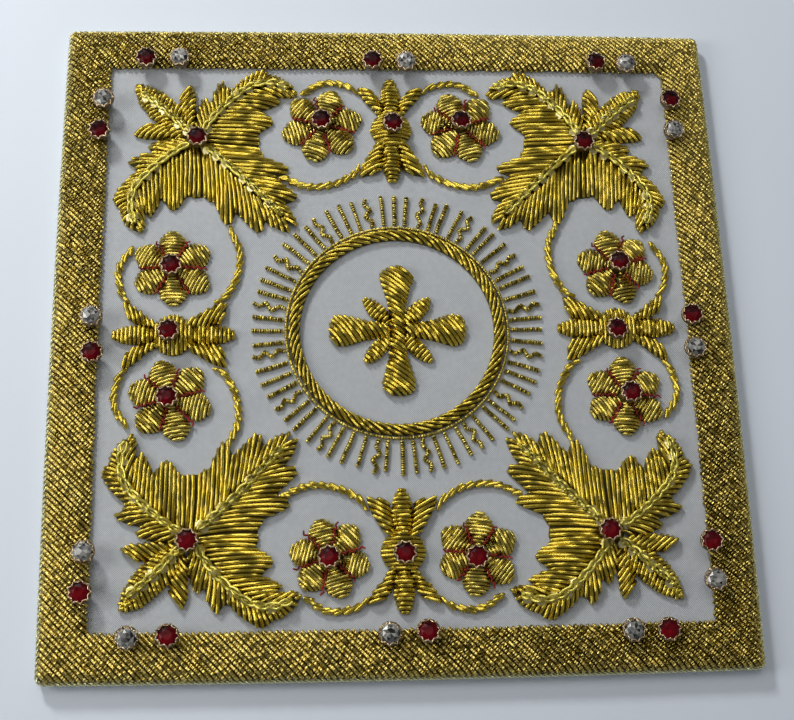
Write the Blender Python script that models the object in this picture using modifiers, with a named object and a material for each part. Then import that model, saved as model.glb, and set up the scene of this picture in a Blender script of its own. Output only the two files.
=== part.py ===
"""A square chalice pall: a stiff white cloth panel with gold purl embroidery and claw-set stones.

Run it with: blender --background --python part.py
The pall lies face up on the floor, its middle over the origin, +Y to the top of the design.
"""

from collections import namedtuple
from math import cos, pi, radians, sin

import bmesh
import bpy
from mathutils import Matrix, Vector

MM = 0.001
GAP = 0.3 * MM

# The covered panel, measured to its corners. Each side bows out past them a little, more to one end.
PANEL_THICK = 3.2 * MM
PANEL_EDGE_ROUND = 0.5 * MM
PANEL_CORNER_ROUND = 1.6 * MM
PANEL_REACH = 87.6 * MM
OUTLINE_STATIONS = 7
# A side's stones sit in three pairs, each sewn by eye: how far along the side each pair's middle lies.
SideShape = namedtuple("SideShape", "name bow lean pairs")
SIDES = (
    SideShape("top", 0.6 * MM, 0.2, (-62.4, -0.1, 62.2)),
    SideShape("left", 0.6 * MM, -0.3, (-62.7, -1.5, 60.9)),
    SideShape("bottom", 0.6 * MM, -0.5, (-60.5, -0.5, 62.3)),
    SideShape("right", 0.6 * MM, 0.3, (-62.3, 1.5, 62.4)),
)
EDGE_CORD_RADIUS = 0.55 * MM

# Everything sewn on starts here, just over the cloth.
FACE = PANEL_THICK + GAP
ROOT = -1.0 * MM

BORDER_INNER = 77.0 * MM
BORDER_OUTER_INSET = 0.1 * MM
BORDER_WAVE = 0.25 * MM
BORDER_WAVE_STEP = 2.3
BORDER_STATIONS = 12
# Columns: share of the way across from the inner edge, height in mm.
BORDER_CROWN = ((0.0, 0.9), (0.2, 1.8), (0.55, 2.2), (0.85, 1.9), (1.0, 1.1))

# A claw-set stone as a turned profile, from the table down to the seat. Columns: radius and height in mm.
STONE_PROFILE = ((0.0, 3.0), (1.3, 3.0), (2.15, 2.3), (2.6, 1.9), (2.5, 0.6), (1.9, 0.0), (0.0, 0.0))
STONE_STEPS = 8
HUB_RADIUS = 2.3 * MM
HUB_HEIGHT = 2.5 * MM
BORDER_STONE_OUT = 78.4 * MM
BORDER_STONE_APART = 9.3 * MM
BORDER_STONE_SEAT = 2.15 * MM

RING_RADIUS = 27.0 * MM
RING_HALF_WIDTH = 1.4 * MM
RING_CENTRE_HEIGHT = 0.5 * MM
RING_STEPS = 40
PEARL_INNER = 28.75 * MM
PEARL_OUTER = 29.75 * MM
PEARL_STEPS = 48
RAY_TIP = 38.6 * MM
RAY_WIDTH = 0.95 * MM
RAY_HEIGHT = 0.9 * MM
RAY_GROUPS = 16
RAYS_IN_GROUP = 4
ZIGZAG_SWING = 0.95 * MM
ZIGZAG_BENDS = 4

# Lobes of a corner leaf, seen from its stone with +X and +Y to the pall's corner, in mm.
# Columns: rib_x, rib_y, left_x, left_y, right_x, right_y. Left and right are the outline beside the rib.
SIDE_LOBE = (
    (-0.5, 1.0, -17.4, -0.7, 1.2, 4.2),
    (-3.3, 4.8, -19.7, 3.4, -1.3, 12.2),
    (-6.3, 8.7, -19.0, 6.2, -5.2, 17.9),
    (-9.2, 12.2, -21.6, 10.2, -8.3, 17.3),
    (-12.4, 15.4, -21.4, 12.0, -12.0, 20.9),
    (-15.7, 17.9, -23.0, 13.4, -17.1, 21.9),
    (-19.0, 19.0, -24.0, 13.9, -20.5, 20.8),
    (-23.0, 17.7, -25.2, 14.2, -24.0, 18.4),
    (-26.0, 14.8, -26.0, 14.3, -26.4, 15.0),
)
# The inner lobe lies on the leaf's diagonal. Columns of its reach: the outline's far and near coordinate.
INNER_LOBE_RIB = (0.8, 4.0, 7.5, 11.0, 14.5, 18.0, 21.5, 24.0, 25.8)
INNER_LOBE_REACH = (
    (14.6, 1.0), (20.0, 3.8), (23.6, 7.2), (23.4, 10.6), (26.4, 13.8),
    (26.6, 17.0), (24.4, 20.0), (25.8, 23.0), (26.2, 25.4),
)
OUTER_LOBE = (
    (1.4, 1.3, 0.9, 4.0, 4.2, 0.9),
    (5.0, 4.6, 5.4, 8.4, 8.6, 4.3),
    (8.6, 7.9, 8.6, 12.0, 12.2, 6.0),
    (12.2, 11.0, 12.8, 15.2, 15.6, 8.8),
    (15.6, 14.0, 16.0, 16.8, 17.8, 12.6),
    (18.2, 16.4, 18.0, 16.7, 18.5, 16.0),
)
LEAFLET = (
    (2.2, 2.4, 1.4, 2.6, 3.0, 2.2),
    (2.9, 6.8, 1.7, 6.9, 4.1, 6.7),
    (3.2, 10.4, 1.3, 10.6, 5.1, 10.2),
    (3.2, 13.6, 1.1, 14.0, 5.2, 12.9),
    (2.7, 16.0, 1.6, 16.3, 3.6, 15.5),
)
# Height in mm over the cloth. Columns: share of the way from the rib to the outline, height.
LEAF_CROWN = ((0.0, 1.6), (0.5, 2.5), (1.0, 0.6))
LEAFLET_CROWN = ((0.0, 1.7), (1.0, 0.6))
LOBE_TIP_SHARE = 0.45

LEAF_PLACE = Vector((52.7 * MM, 54.2 * MM))
# Columns: corner, which way x and y run from the middle, its turn in degrees, its size.
LEAVES = (
    ("top_left", -1, 1, 0.0, 1.0),
    ("top_right", 1, 1, -1.0, 0.985),
    ("bottom_left", -1, -1, 0.8, 0.995),
    ("bottom_right", 1, -1, -0.6, 0.98),
)

# Columns: flower, its x and y from the middle in mm, the direction of its first petal in degrees.
FLOWERS = (
    ("top_left", -19.2, 60.4, 15.0),
    ("top_right", 18.9, 60.2, -11.0),
    ("right_upper", 59.8, 18.1, -15.0),
    ("right_lower", 60.0, -18.2, 30.0),
    ("bottom_right", 18.0, -60.2, 27.0),
    ("bottom_left", -18.5, -60.0, -13.0),
    ("left_lower", -59.4, -18.3, 44.0),
    ("left_upper", -59.0, 17.8, 30.0),
)
PETALS = 6
PETAL_REACH = 10.7 * MM
PETAL_NOTCH = 0.74
PETAL_HEIGHT = 2.1 * MM
SEAM_DIP = 0.35
SEAM_SHARPNESS = 2.2
FLOWER_SPOKES = 24
FLOWER_RINGS = 12
FLOWER_HUB = 2.6 * MM
FLOWER_HUB_FOOT = 2.7 * MM
FLOWER_STONE_TOP = 4.9 * MM
# The first two rings of the sphere, counted by how far out they lie, make the stone and its foot.
STONE_RING_OUT = 0.3
FOOT_RING_OUT = 0.55

# A side spray in its own frame: +Y to the pall's edge, its origin at the bud's middle.
# Columns: side, how far it is shifted along that side in mm, its turn in degrees.
SPRAY_OUT = 58.1 * MM
SPRAYS = (("top", 0.0, 0.0), ("left", -0.4, 90.0), ("bottom", 0.2, 180.0), ("right", -0.3, 270.0))
BUD_BELLY = Vector((5.3, 4.3, 2.4)) * MM
BUD_PETAL = Vector((2.7, 7.6, 2.2)) * MM
BUD_PETAL_OUT = 8.4 * MM
BUD_STONE_OUT = 1.0 * MM
# Vines of the spray's right half. Columns: x and y in mm, and the half width of the purl there.
OUTER_VINE = (
    (1.5, 1.5, 1.3), (5.0, 5.6, 2.0), (7.4, 9.4, 1.9), (9.6, 12.6, 1.1),
    (12.8, 14.6, 0.8), (16.2, 15.4, 0.8), (19.6, 14.8, 0.75), (22.9, 13.2, 0.6),
)
INNER_VINE = (
    (1.5, -1.5, 1.3), (4.6, -5.8, 2.0), (7.0, -9.2, 1.9), (9.4, -12.4, 1.1),
    (12.8, -15.2, 0.8), (16.8, -16.9, 0.8), (21.0, -17.0, 0.8), (24.8, -15.8, 0.75), (27.2, -14.2, 0.6),
)
VINE_SINK = 0.35

# The cross in the ring. Columns: distance along an arm and half its width there, in mm.
CROSS_ARM = ((0.0, 1.9), (5.0, 2.1), (9.5, 3.1), (13.5, 4.6), (16.0, 4.4), (17.6, 2.2))
CROSS_LEAF = ((0.0, 0.9), (4.0, 1.5), (7.5, 2.1), (10.5, 1.5), (12.6, 0.4))
CROSS_CROWN = ((0.0, 2.2), (0.6, 1.9), (1.0, 0.7))

# Columns: colour, roughness and metallic value.
FINISHES = {
    "white_cloth": ((0.62, 0.64, 0.66), 0.85, 0.0),
    "gold_purl": ((0.74, 0.53, 0.08), 0.32, 1.0),
    "gold_border": ((0.66, 0.49, 0.10), 0.38, 1.0),
    "red_stone": ((0.35, 0.01, 0.03), 0.08, 0.0),
    "clear_stone": ((0.70, 0.70, 0.66), 0.08, 0.0),
}


def clear_scene():
    for obj in list(bpy.data.objects):
        bpy.data.objects.remove(obj, do_unlink=True)


def make_finish(name):
    colour, roughness, metallic = FINISHES[name]
    material = bpy.data.materials.new(name)
    material.use_nodes = True
    shader = material.node_tree.nodes["Principled BSDF"]
    shader.inputs["Base Color"].default_value = (*colour, 1.0)
    shader.inputs["Roughness"].default_value = roughness
    shader.inputs["Metallic"].default_value = metallic
    return material


def add_part(name, mesh, finish, location=(0.0, 0.0, 0.0), turn=0.0):
    """Puts a finished mesh in the pall's collection as one named piece."""
    piece = bpy.data.objects.new(name, mesh)
    piece.location = location
    piece.rotation_euler.z = turn
    if not mesh.materials:
        mesh.materials.append(bpy.data.materials[finish])
    bpy.data.collections["chalice_pall"].objects.link(piece)
    return piece


def mesh_of(bm, name):
    """Ends a bmesh: merges doubles, turns its faces outwards and makes it a mesh."""
    bmesh.ops.remove_doubles(bm, verts=bm.verts, dist=0.002 * MM)
    bmesh.ops.recalc_face_normals(bm, faces=bm.faces)
    mesh = bpy.data.meshes.new(name)
    bm.to_mesh(mesh)
    bm.free()
    return mesh


def mesh_of_curve(curve_object):
    """The welded mesh of a curve object, which is then removed."""
    bpy.context.view_layer.update()
    graph = bpy.context.evaluated_depsgraph_get()
    raw = bpy.data.meshes.new_from_object(curve_object.evaluated_get(graph))
    bm = bmesh.new()
    bm.from_mesh(raw)
    bpy.data.objects.remove(curve_object, do_unlink=True)
    bpy.data.meshes.remove(raw)
    return mesh_of(bm, "curve_mesh")


def curve_object(name, points, cyclic, radii=None):
    """A curve object with one straight-segment spline through points."""
    curve = bpy.data.curves.new(name, "CURVE")
    curve.dimensions = "3D"
    spline = curve.splines.new("POLY")
    spline.points.add(len(points) - 1)
    for index, place in enumerate(points):
        spline.points[index].co = (*place, 1.0)
        spline.points[index].radius = radii[index] if radii else 1.0
    spline.use_cyclic_u = cyclic
    obj = bpy.data.objects.new(name, curve)
    bpy.context.scene.collection.objects.link(obj)
    return obj


def flat_foot(mesh, height=0.0):
    """Cuts away all that is under height, and closes the cut with a flat foot."""
    bm = bmesh.new()
    bm.from_mesh(mesh)
    everything = bm.verts[:] + bm.edges[:] + bm.faces[:]
    bmesh.ops.bisect_plane(
        bm, geom=everything, dist=0.001 * MM, plane_co=(0, 0, height), plane_no=(0, 0, 1), clear_inner=True
    )
    rim = [edge for edge in bm.edges if edge.is_boundary]
    bmesh.ops.triangle_fill(bm, edges=rim, use_beauty=True, normal=(0, 0, -1))
    bpy.data.meshes.remove(mesh)
    return mesh_of(bm, "footed")


def fuse(meshes):
    """One mesh that is the union of several closed meshes."""
    helpers = bpy.data.collections.new("fuse_helpers")
    bpy.context.scene.collection.children.link(helpers)
    first = bpy.data.objects.new("fuse_first", meshes[0])
    bpy.context.scene.collection.objects.link(first)
    for index, mesh in enumerate(meshes[1:]):
        helper = bpy.data.objects.new(f"fuse_{index}", mesh)
        helper.hide_render = True
        helper.display_type = "WIRE"
        helpers.objects.link(helper)
    join = first.modifiers.new("join", "BOOLEAN")
    join.operation = "UNION"
    join.operand_type = "COLLECTION"
    join.collection = helpers
    bpy.context.view_layer.update()
    graph = bpy.context.evaluated_depsgraph_get()
    fused = bpy.data.meshes.new_from_object(first.evaluated_get(graph))
    for helper in [first, *helpers.objects]:
        bpy.data.objects.remove(helper, do_unlink=True)
    bpy.data.collections.remove(helpers)
    bm = bmesh.new()
    bm.from_mesh(fused)
    bmesh.ops.dissolve_degenerate(bm, dist=0.002 * MM, edges=bm.edges)
    bpy.data.meshes.remove(fused)
    return mesh_of(bm, "fused")


def copy_turned(mesh, matrix):
    """A copy of a mesh under a matrix, with its faces still pointing out."""
    bm = bmesh.new()
    bm.from_mesh(mesh)
    bmesh.ops.transform(bm, matrix=matrix, verts=bm.verts)
    return mesh_of(bm, mesh.name)


def padded_sheet(rows):
    """A closed solid under a grid of points: the rows are its top, and its root is flat."""
    along, across = len(rows) - 1, len(rows[0]) - 1
    bm = bmesh.new()
    grid = bmesh.ops.create_grid(bm, x_segments=along, y_segments=across, size=0.5)
    for vert in grid["verts"]:
        row = round((vert.co.x + 0.5) * along)
        column = round((vert.co.y + 0.5) * across)
        vert.co = rows[row][column]
    under = bmesh.ops.extrude_face_region(bm, geom=bm.faces[:])["geom"]
    root_faces = [item for item in under if isinstance(item, bmesh.types.BMFace)]
    for vert in (item for item in under if isinstance(item, bmesh.types.BMVert)):
        vert.co.z = ROOT
    bmesh.ops.dissolve_faces(bm, faces=root_faces)
    return mesh_of(bm, "padded")


def lobe(table, crown):
    """A padded lobe from a table of sections. The crown gives its height from rib to outline."""
    outwards = [share for share, _ in crown]
    heights = [height * MM for _, height in crown]
    rows = []
    for index, (rib_x, rib_y, left_x, left_y, right_x, right_y) in enumerate(table):
        rib = Vector((rib_x, rib_y, 0.0)) * MM
        left = Vector((left_x, left_y, 0.0)) * MM
        right = Vector((right_x, right_y, 0.0)) * MM
        fall = LOBE_TIP_SHARE if index == len(table) - 1 else 1.0
        row = []
        for share, height in reversed(list(zip(outwards[1:], heights[1:]))):
            row.append(rib.lerp(right, share) + Vector((0, 0, height * fall)))
        row.append(rib + Vector((0, 0, heights[0] * fall)))
        for share, height in zip(outwards[1:], heights[1:]):
            row.append(rib.lerp(left, share) + Vector((0, 0, height * fall)))
        rows.append(row)
    return padded_sheet(rows)


def mirrored_table(table):
    """The same sections seen in the leaf's diagonal: x and y change places, and so do the sides."""
    mirrored = []
    for rib_x, rib_y, left_x, left_y, right_x, right_y in table:
        mirrored.append((rib_y, rib_x, right_y, right_x, left_y, left_x))
    return mirrored


def straight_table(widths, direction):
    """Sections of a straight lobe that starts at the origin and runs towards direction, in degrees."""
    ahead = Vector((cos(radians(direction)), sin(radians(direction))))
    left = Vector((-ahead.y, ahead.x))
    table = []
    for along, half_width in widths:
        rib = ahead * along
        table.append((*rib, *(rib + left * half_width), *(rib - left * half_width)))
    return tuple(table)


def hub(radius, height):
    """A round pad that a stone sits on."""
    bm = bmesh.new()
    bmesh.ops.create_cone(
        bm, cap_ends=True, segments=12, radius1=radius, radius2=radius, depth=height - ROOT,
        matrix=Matrix.Translation((0, 0, (height + ROOT) / 2)),
    )
    return mesh_of(bm, "hub")


def leaf_mesh():
    """A corner leaf: four ribbed lobes and two small leaflets about the stone's pad."""
    inner_lobe = tuple(
        (-rib, -rib, -near, -far, -far, -near) for rib, (far, near) in zip(INNER_LOBE_RIB, INNER_LOBE_REACH)
    )
    shapes = [
        hub(HUB_RADIUS, HUB_HEIGHT),
        lobe(SIDE_LOBE, LEAF_CROWN),
        lobe(mirrored_table(SIDE_LOBE), LEAF_CROWN),
        lobe(inner_lobe, LEAF_CROWN),
        lobe(OUTER_LOBE, LEAF_CROWN),
        lobe(LEAFLET, LEAFLET_CROWN),
        lobe(mirrored_table(LEAFLET), LEAFLET_CROWN),
    ]
    return flat_foot(fuse(shapes))


def add_leaves():
    leaf = leaf_mesh()
    for name, side_x, side_y, turn, size in LEAVES:
        place = Vector((side_x * LEAF_PLACE.x, side_y * LEAF_PLACE.y, FACE))
        shape = Matrix.Diagonal((side_x * size, side_y * size, 1.0, 1.0))
        mesh = copy_turned(leaf, Matrix.Rotation(radians(turn), 4, "Z") @ shape)
        add_part(f"leaf_{name}", mesh, "gold_purl", place)
        stone_place = place + Vector((0, 0, HUB_HEIGHT + GAP))
        add_stone(f"stone_leaf_{name}", "red_stone", stone_place)


def petal_share(angle):
    """How far the flower reaches at an angle from a petal's middle: 1 there, less at a seam."""
    turn = abs((angle / (2 * pi / PETALS) + 0.5) % 1.0 - 0.5) * 2.0
    return 1.0 - (1.0 - PETAL_NOTCH) * turn**SEAM_SHARPNESS


def flower_mesh():
    """Six padded petals about a raised stone, shaped from a sphere."""
    bm = bmesh.new()
    bmesh.ops.create_uvsphere(bm, u_segments=FLOWER_SPOKES, v_segments=FLOWER_RINGS, radius=1.0)
    for vert in bm.verts:
        out = Vector(vert.co[:2]).length
        angle = Vector((1, 0)).angle_signed(Vector(vert.co[:2])) if out > 0.01 else 0.0
        share = petal_share(angle)
        seam = (1.0 - share) / (1.0 - PETAL_NOTCH)
        reach = PETAL_REACH * share * out
        height = PETAL_HEIGHT * vert.co.z * (1.0 - SEAM_DIP * seam * min(1.0, out * 2.0))
        if vert.co.z > 0 and out < STONE_RING_OUT:
            reach = FLOWER_HUB if out > 0.01 else 0.0
            height = FLOWER_STONE_TOP
        elif vert.co.z > 0 and out < FOOT_RING_OUT:
            reach = FLOWER_HUB_FOOT
        vert.co = Vector((vert.co.x, vert.co.y, 0)).normalized() * reach + Vector((0, 0, height))
    return flat_foot(mesh_of(bm, "flower"))


def add_flowers():
    mesh = flower_mesh()
    for name, x, y, turn in FLOWERS:
        turned = copy_turned(mesh, Matrix.Rotation(radians(turn), 4, "Z"))
        add_part(f"flower_{name}", turned, "gold_purl", (x * MM, y * MM, FACE))


def ellipsoid(half_sizes, middle):
    bm = bmesh.new()
    bmesh.ops.create_uvsphere(bm, u_segments=12, v_segments=6, radius=1.0)
    bmesh.ops.scale(bm, vec=half_sizes, verts=bm.verts)
    bmesh.ops.translate(bm, vec=middle, verts=bm.verts)
    return mesh_of(bm, "ellipsoid")


def vine(table, mirror):
    """A couched vine: a round run of purl whose width changes along it, sunk in the cloth's level."""
    points = [(mirror * x * MM, y * MM, VINE_SINK * half_width * MM) for x, y, half_width in table]
    tube = curve_object("vine", points, cyclic=False, radii=[half_width for _, _, half_width in table])
    tube.data.bevel_depth = 1.0 * MM
    tube.data.bevel_resolution = 1
    tube.data.use_fill_caps = True
    return mesh_of_curve(tube)


def spray_mesh():
    """A bud with two long petals, a round belly, and four vines that curl away from it."""
    shapes = [
        ellipsoid(BUD_BELLY, (0, 0, 0)),
        ellipsoid(BUD_PETAL, (0, BUD_PETAL_OUT, 0)),
        ellipsoid(BUD_PETAL, (0, -BUD_PETAL_OUT, 0)),
        hub_at(BUD_STONE_OUT),
    ]
    for table in (OUTER_VINE, INNER_VINE):
        for mirror in (1, -1):
            shapes.append(vine(table, mirror))
    return flat_foot(fuse(shapes))


def hub_at(out):
    """The stone's pad on a bud, a little off its middle."""
    return copy_turned(hub(HUB_RADIUS, HUB_HEIGHT), Matrix.Translation((0, out, 0)))


def add_sprays():
    mesh = spray_mesh()
    for name, shift, turn in SPRAYS:
        way = Matrix.Rotation(radians(turn), 4, "Z")
        place = way @ Vector((shift * MM, SPRAY_OUT, FACE))
        add_part(f"spray_{name}", copy_turned(mesh, way), "gold_purl", place)
        stone_place = way @ Vector((shift * MM, SPRAY_OUT + BUD_STONE_OUT, FACE + HUB_HEIGHT + GAP))
        add_stone(f"stone_bud_{name}", "red_stone", stone_place)


def add_stone(name, finish, place):
    """A claw-set stone: its profile turned about its own axis."""
    mesh = bpy.data.meshes.new(name)
    bm = bmesh.new()
    profile = [bm.verts.new((radius * MM, 0, height * MM)) for radius, height in STONE_PROFILE]
    for upper, lower in zip(profile, profile[1:]):
        bm.edges.new((upper, lower))
    bm.to_mesh(mesh)
    bm.free()
    stone = add_part(name, mesh, finish, place)
    turned = stone.modifiers.new("turn", "SCREW")
    turned.steps = turned.render_steps = STONE_STEPS
    turned.use_merge_vertices = True
    turned.merge_threshold = 0.01 * MM


def add_border_stones():
    """Two stones at each end and at the middle of every side, red first going round clockwise."""
    for side, shape in enumerate(SIDES):
        way = Matrix.Rotation(side * pi / 2, 4, "Z")
        for pair, along in enumerate(shape.pairs):
            for which, finish in enumerate(("red_stone", "clear_stone")):
                offset = along * MM + (which - 0.5) * BORDER_STONE_APART
                place = way @ Vector((offset, BORDER_STONE_OUT, FACE + BORDER_STONE_SEAT + GAP))
                add_stone(f"stone_{shape.name}_{pair + 1}_{finish.split('_')[0]}", finish, place)


def side_point(side, along, out):
    """The point of a side at a share along it, -1 to 1, and at a distance out from the middle.

    A side's ends lie on the square's diagonals, and the bow grows with the distance out.
    """
    shape = SIDES[side]
    swell = (1.0 - along**2) * (1.0 + shape.lean * along)
    bowed = out + shape.bow * swell * (out / PANEL_REACH)
    flat = Vector((-along * bowed, bowed, 0.0))
    return Matrix.Rotation(side * pi / 2, 3, "Z") @ flat


def outline(out, corner_round):
    """The pall's outline at a distance out from the middle, with its corners rounded off."""
    points = []
    limit = 1.0 - corner_round / out
    for side in range(4):
        for step in range(OUTLINE_STATIONS):
            along = limit * (2.0 * step / (OUTLINE_STATIONS - 1) - 1.0)
            points.append(side_point(side, along, out))
        ahead = side_point((side + 1) % 4, -limit, out)
        corner = (side_point(side, 1.0, out) + side_point((side + 1) % 4, -1.0, out)) / 2
        start = points[-1]
        for share in (0.33, 0.67):
            arc = start * (1 - share) ** 2 + corner * 2 * share * (1 - share) + ahead * share**2
            points.append(arc)
    return points


def add_panel():
    """The stiff square covered in white cloth, as a flat outline with rounded edges."""
    inset = PANEL_REACH - PANEL_EDGE_ROUND
    points = [(p.x, p.y, 0.0) for p in outline(inset, PANEL_CORNER_ROUND)]
    plate = curve_object("panel_outline", points, cyclic=True)
    plate.data.dimensions = "2D"
    plate.data.fill_mode = "BOTH"
    plate.data.extrude = PANEL_THICK / 2 - PANEL_EDGE_ROUND
    plate.data.bevel_depth = PANEL_EDGE_ROUND
    plate.data.bevel_resolution = 1
    add_part("panel", mesh_of_curve(plate), "white_cloth", (0, 0, PANEL_THICK / 2))


def add_edge_cord():
    """The thin gold cord sewn round the panel's edge."""
    out = PANEL_REACH + GAP + EDGE_CORD_RADIUS
    height = PANEL_THICK - PANEL_EDGE_ROUND
    points = [(p.x, p.y, height) for p in outline(out, PANEL_CORNER_ROUND + EDGE_CORD_RADIUS)]
    cord = curve_object("edge_line", points, cyclic=True)
    cord.data.bevel_depth = EDGE_CORD_RADIUS
    cord.data.bevel_resolution = 1
    add_part("edge_cord", mesh_of_curve(cord), "gold_purl")


def add_border():
    """Four mitred bands of padded purl, each crowned across and a little wavy at its inner edge."""
    outer = PANEL_REACH - BORDER_OUTER_INSET
    for side, shape in enumerate(SIDES):
        rows = []
        for station in range(BORDER_STATIONS):
            row = []
            for share, height in BORDER_CROWN:
                wave = BORDER_WAVE * sin(BORDER_WAVE_STEP * station + side) * (1.0 - share)
                out = BORDER_INNER + wave + (outer - BORDER_INNER) * share
                limit = 1.0 - GAP / out
                along = limit * (2.0 * station / (BORDER_STATIONS - 1) - 1.0)
                row.append(side_point(side, along, out) + Vector((0, 0, height * MM)))
            rows.append(row)
        add_part(f"border_{shape.name}", flat_foot(padded_sheet(rows)), "gold_border", (0, 0, FACE))


def add_ring():
    """The roundel's thick rope ring."""
    turns = [2 * pi * step / RING_STEPS for step in range(RING_STEPS)]
    line = [(RING_RADIUS * cos(turn), RING_RADIUS * sin(turn), RING_CENTRE_HEIGHT) for turn in turns]
    rope = curve_object("ring_line", line, cyclic=True)
    rope.data.bevel_depth = RING_HALF_WIDTH
    rope.data.bevel_resolution = 1
    add_part("ring", flat_foot(mesh_of_curve(rope)), "gold_purl", (0, 0, FACE))


def ray_outline(direction, bends):
    """The outline of one ray, out along its left side and back along its right one."""
    ahead = Vector((cos(direction), sin(direction)))
    left = Vector((-ahead.y, ahead.x))
    stops = bends + 1
    way_out, way_back = [], []
    for stop in range(stops + 1):
        along = PEARL_OUTER + (RAY_TIP - PEARL_OUTER) * stop / stops
        swing = 0.0 if stop in (0, stops) else ZIGZAG_SWING * (-1) ** stop
        middle = ahead * along + left * swing
        way_out.append(middle - left * RAY_WIDTH / 2)
        way_back.append(middle + left * RAY_WIDTH / 2)
    return way_out + way_back[::-1]


def add_sunburst():
    """The thin pearl ring with its rays: a bent one, then three straight ones, all round."""
    rays = RAY_GROUPS * RAYS_IN_GROUP
    points = []
    for ray in range(rays):
        direction = 2 * pi * (ray / rays + 0.5 / RAY_GROUPS)
        bends = ZIGZAG_BENDS if ray % RAYS_IN_GROUP == 0 else 0
        points += ray_outline(direction, bends)
    burst = curve_object("burst_line", [(p.x, p.y, 0.0) for p in points], cyclic=True)
    burst.data.dimensions = "2D"
    burst.data.fill_mode = "BOTH"
    hole = burst.data.splines.new("POLY")
    hole.points.add(PEARL_STEPS - 1)
    for step, point in enumerate(hole.points):
        turn = 2 * pi * step / PEARL_STEPS
        point.co = (PEARL_INNER * cos(turn), PEARL_INNER * sin(turn), 0.0, 1.0)
    hole.use_cyclic_u = True
    burst.data.extrude = RAY_HEIGHT / 2
    add_part("sunburst", mesh_of_curve(burst), "gold_purl", (0, 0, FACE + RAY_HEIGHT / 2))


def add_cross():
    """A plain cross with flared arms, and a small leaf in each of its angles."""
    shapes = [lobe(straight_table(CROSS_ARM, turn), CROSS_CROWN) for turn in (0, 90, 180, 270)]
    shapes += [lobe(straight_table(CROSS_LEAF, turn), CROSS_CROWN) for turn in (45, 135, 225, 315)]
    shapes.append(hub(HUB_RADIUS, CROSS_CROWN[0][1] * MM + 0.1 * MM))
    add_part("cross", flat_foot(fuse(shapes)), "gold_purl", (0, 0, FACE))


def build():
    clear_scene()
    bpy.context.scene.collection.children.link(bpy.data.collections.new("chalice_pall"))
    for finish in FINISHES:
        make_finish(finish)
    add_panel()
    add_edge_cord()
    add_border()
    add_ring()
    add_sunburst()
    add_cross()
    add_leaves()
    add_sprays()
    add_flowers()
    add_border_stones()


build()
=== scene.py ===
import math

import bmesh
import bpy
import numpy as np
from bpy.props import FloatProperty, FloatVectorProperty, PointerProperty
from mathutils import Matrix, Vector


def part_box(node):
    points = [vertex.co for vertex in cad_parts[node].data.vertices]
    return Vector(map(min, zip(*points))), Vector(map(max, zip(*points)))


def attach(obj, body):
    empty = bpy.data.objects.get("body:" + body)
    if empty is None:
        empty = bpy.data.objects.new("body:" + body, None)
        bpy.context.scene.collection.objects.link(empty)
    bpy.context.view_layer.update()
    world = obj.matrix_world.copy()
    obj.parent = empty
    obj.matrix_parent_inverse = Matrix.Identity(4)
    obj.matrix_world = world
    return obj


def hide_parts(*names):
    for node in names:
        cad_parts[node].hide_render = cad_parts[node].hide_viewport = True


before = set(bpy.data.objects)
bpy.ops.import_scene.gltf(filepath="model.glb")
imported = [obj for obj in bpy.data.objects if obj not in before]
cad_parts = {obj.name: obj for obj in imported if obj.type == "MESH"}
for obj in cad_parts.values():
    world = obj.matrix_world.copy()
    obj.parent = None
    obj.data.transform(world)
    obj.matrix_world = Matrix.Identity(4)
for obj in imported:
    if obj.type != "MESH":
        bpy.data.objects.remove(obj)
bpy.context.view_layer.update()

bl_info = {
    "name": "Embroidered chalice pall",
    "version": (1, 0, 0),
    "blender": (4, 5, 0),
    "location": "View3D > Sidebar > Pall",
    "description": "Dresses a chalice pall in cloth, laid gold purl, rays, chain-stitched ribs and set stones",
    "category": "Object",
}

MM = 0.001
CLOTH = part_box("panel")[1].z / MM
PANEL_REACH = 88.2
CORD_REACH = 88.5
CORNER_ROUND = 1.6
SIDE_BOW = 0.6

# Places and tables are in mm, from the pall's middle. A leaf's own frame has +X and +Y to its corner.
LEAVES = (
    ("top_left", -52.7, 54.4, -1, 1, 0.0, 1.0),
    ("top_right", 52.8, 54.4, 1, 1, -1.0, 0.985),
    ("bottom_left", -52.5, -54.2, -1, -1, 0.8, 1.0),
    ("bottom_right", 52.7, -54.0, 1, -1, -0.6, 0.98),
)
# Flowers. Columns: name, x and y, the first petal's turn, size, and the x and y of its stone.
FLOWERS = (
    ("top_left", -19.2, 59.5, 15.0, 1.0, -19.2, 60.1),
    ("top_right", 19.0, 59.3, -11.0, 1.0, 18.9, 59.9),
    ("right_upper", 59.45, 17.75, -15.0, 0.96, 59.8, 18.1),
    ("right_lower", 59.0, -18.5, 30.0, 0.95, 60.0, -18.2),
    ("bottom_right", 18.4, -59.3, 24.0, 0.95, 18.0, -60.2),
    ("bottom_left", -18.5, -59.65, -13.0, 0.93, -18.5, -60.0),
    ("left_lower", -58.7, -18.7, 44.0, 0.99, -59.4, -18.6),
    ("left_upper", -58.75, 17.45, 30.0, 0.97, -59.0, 17.3),
)
SPRAY_OUT = 58.1
SPRAYS = (("top", -0.2, 0.0), ("left", -1.1, 90.0), ("bottom", 0.2, 180.0), ("right", -0.3, 270.0))

# Leaf ribs, from the stone to the tip.
SIDE_RIB = ((-1.2, 2.0), (-2.9, 5.0), (-6.3, 9.4), (-10.3, 13.4), (-14.3, 16.4), (-19.6, 17.5), (-24.6, 16.2))
INNER_RIB = ((-1.6, -1.7), (-6.5, -6.0), (-12.4, -11.6), (-17.2, -16.6), (-22.6, -22.4))
OUTER_RIB = ((1.8, 2.0), (4.9, 4.8), (8.6, 8.6), (12.6, 12.0), (15.4, 14.0))
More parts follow.
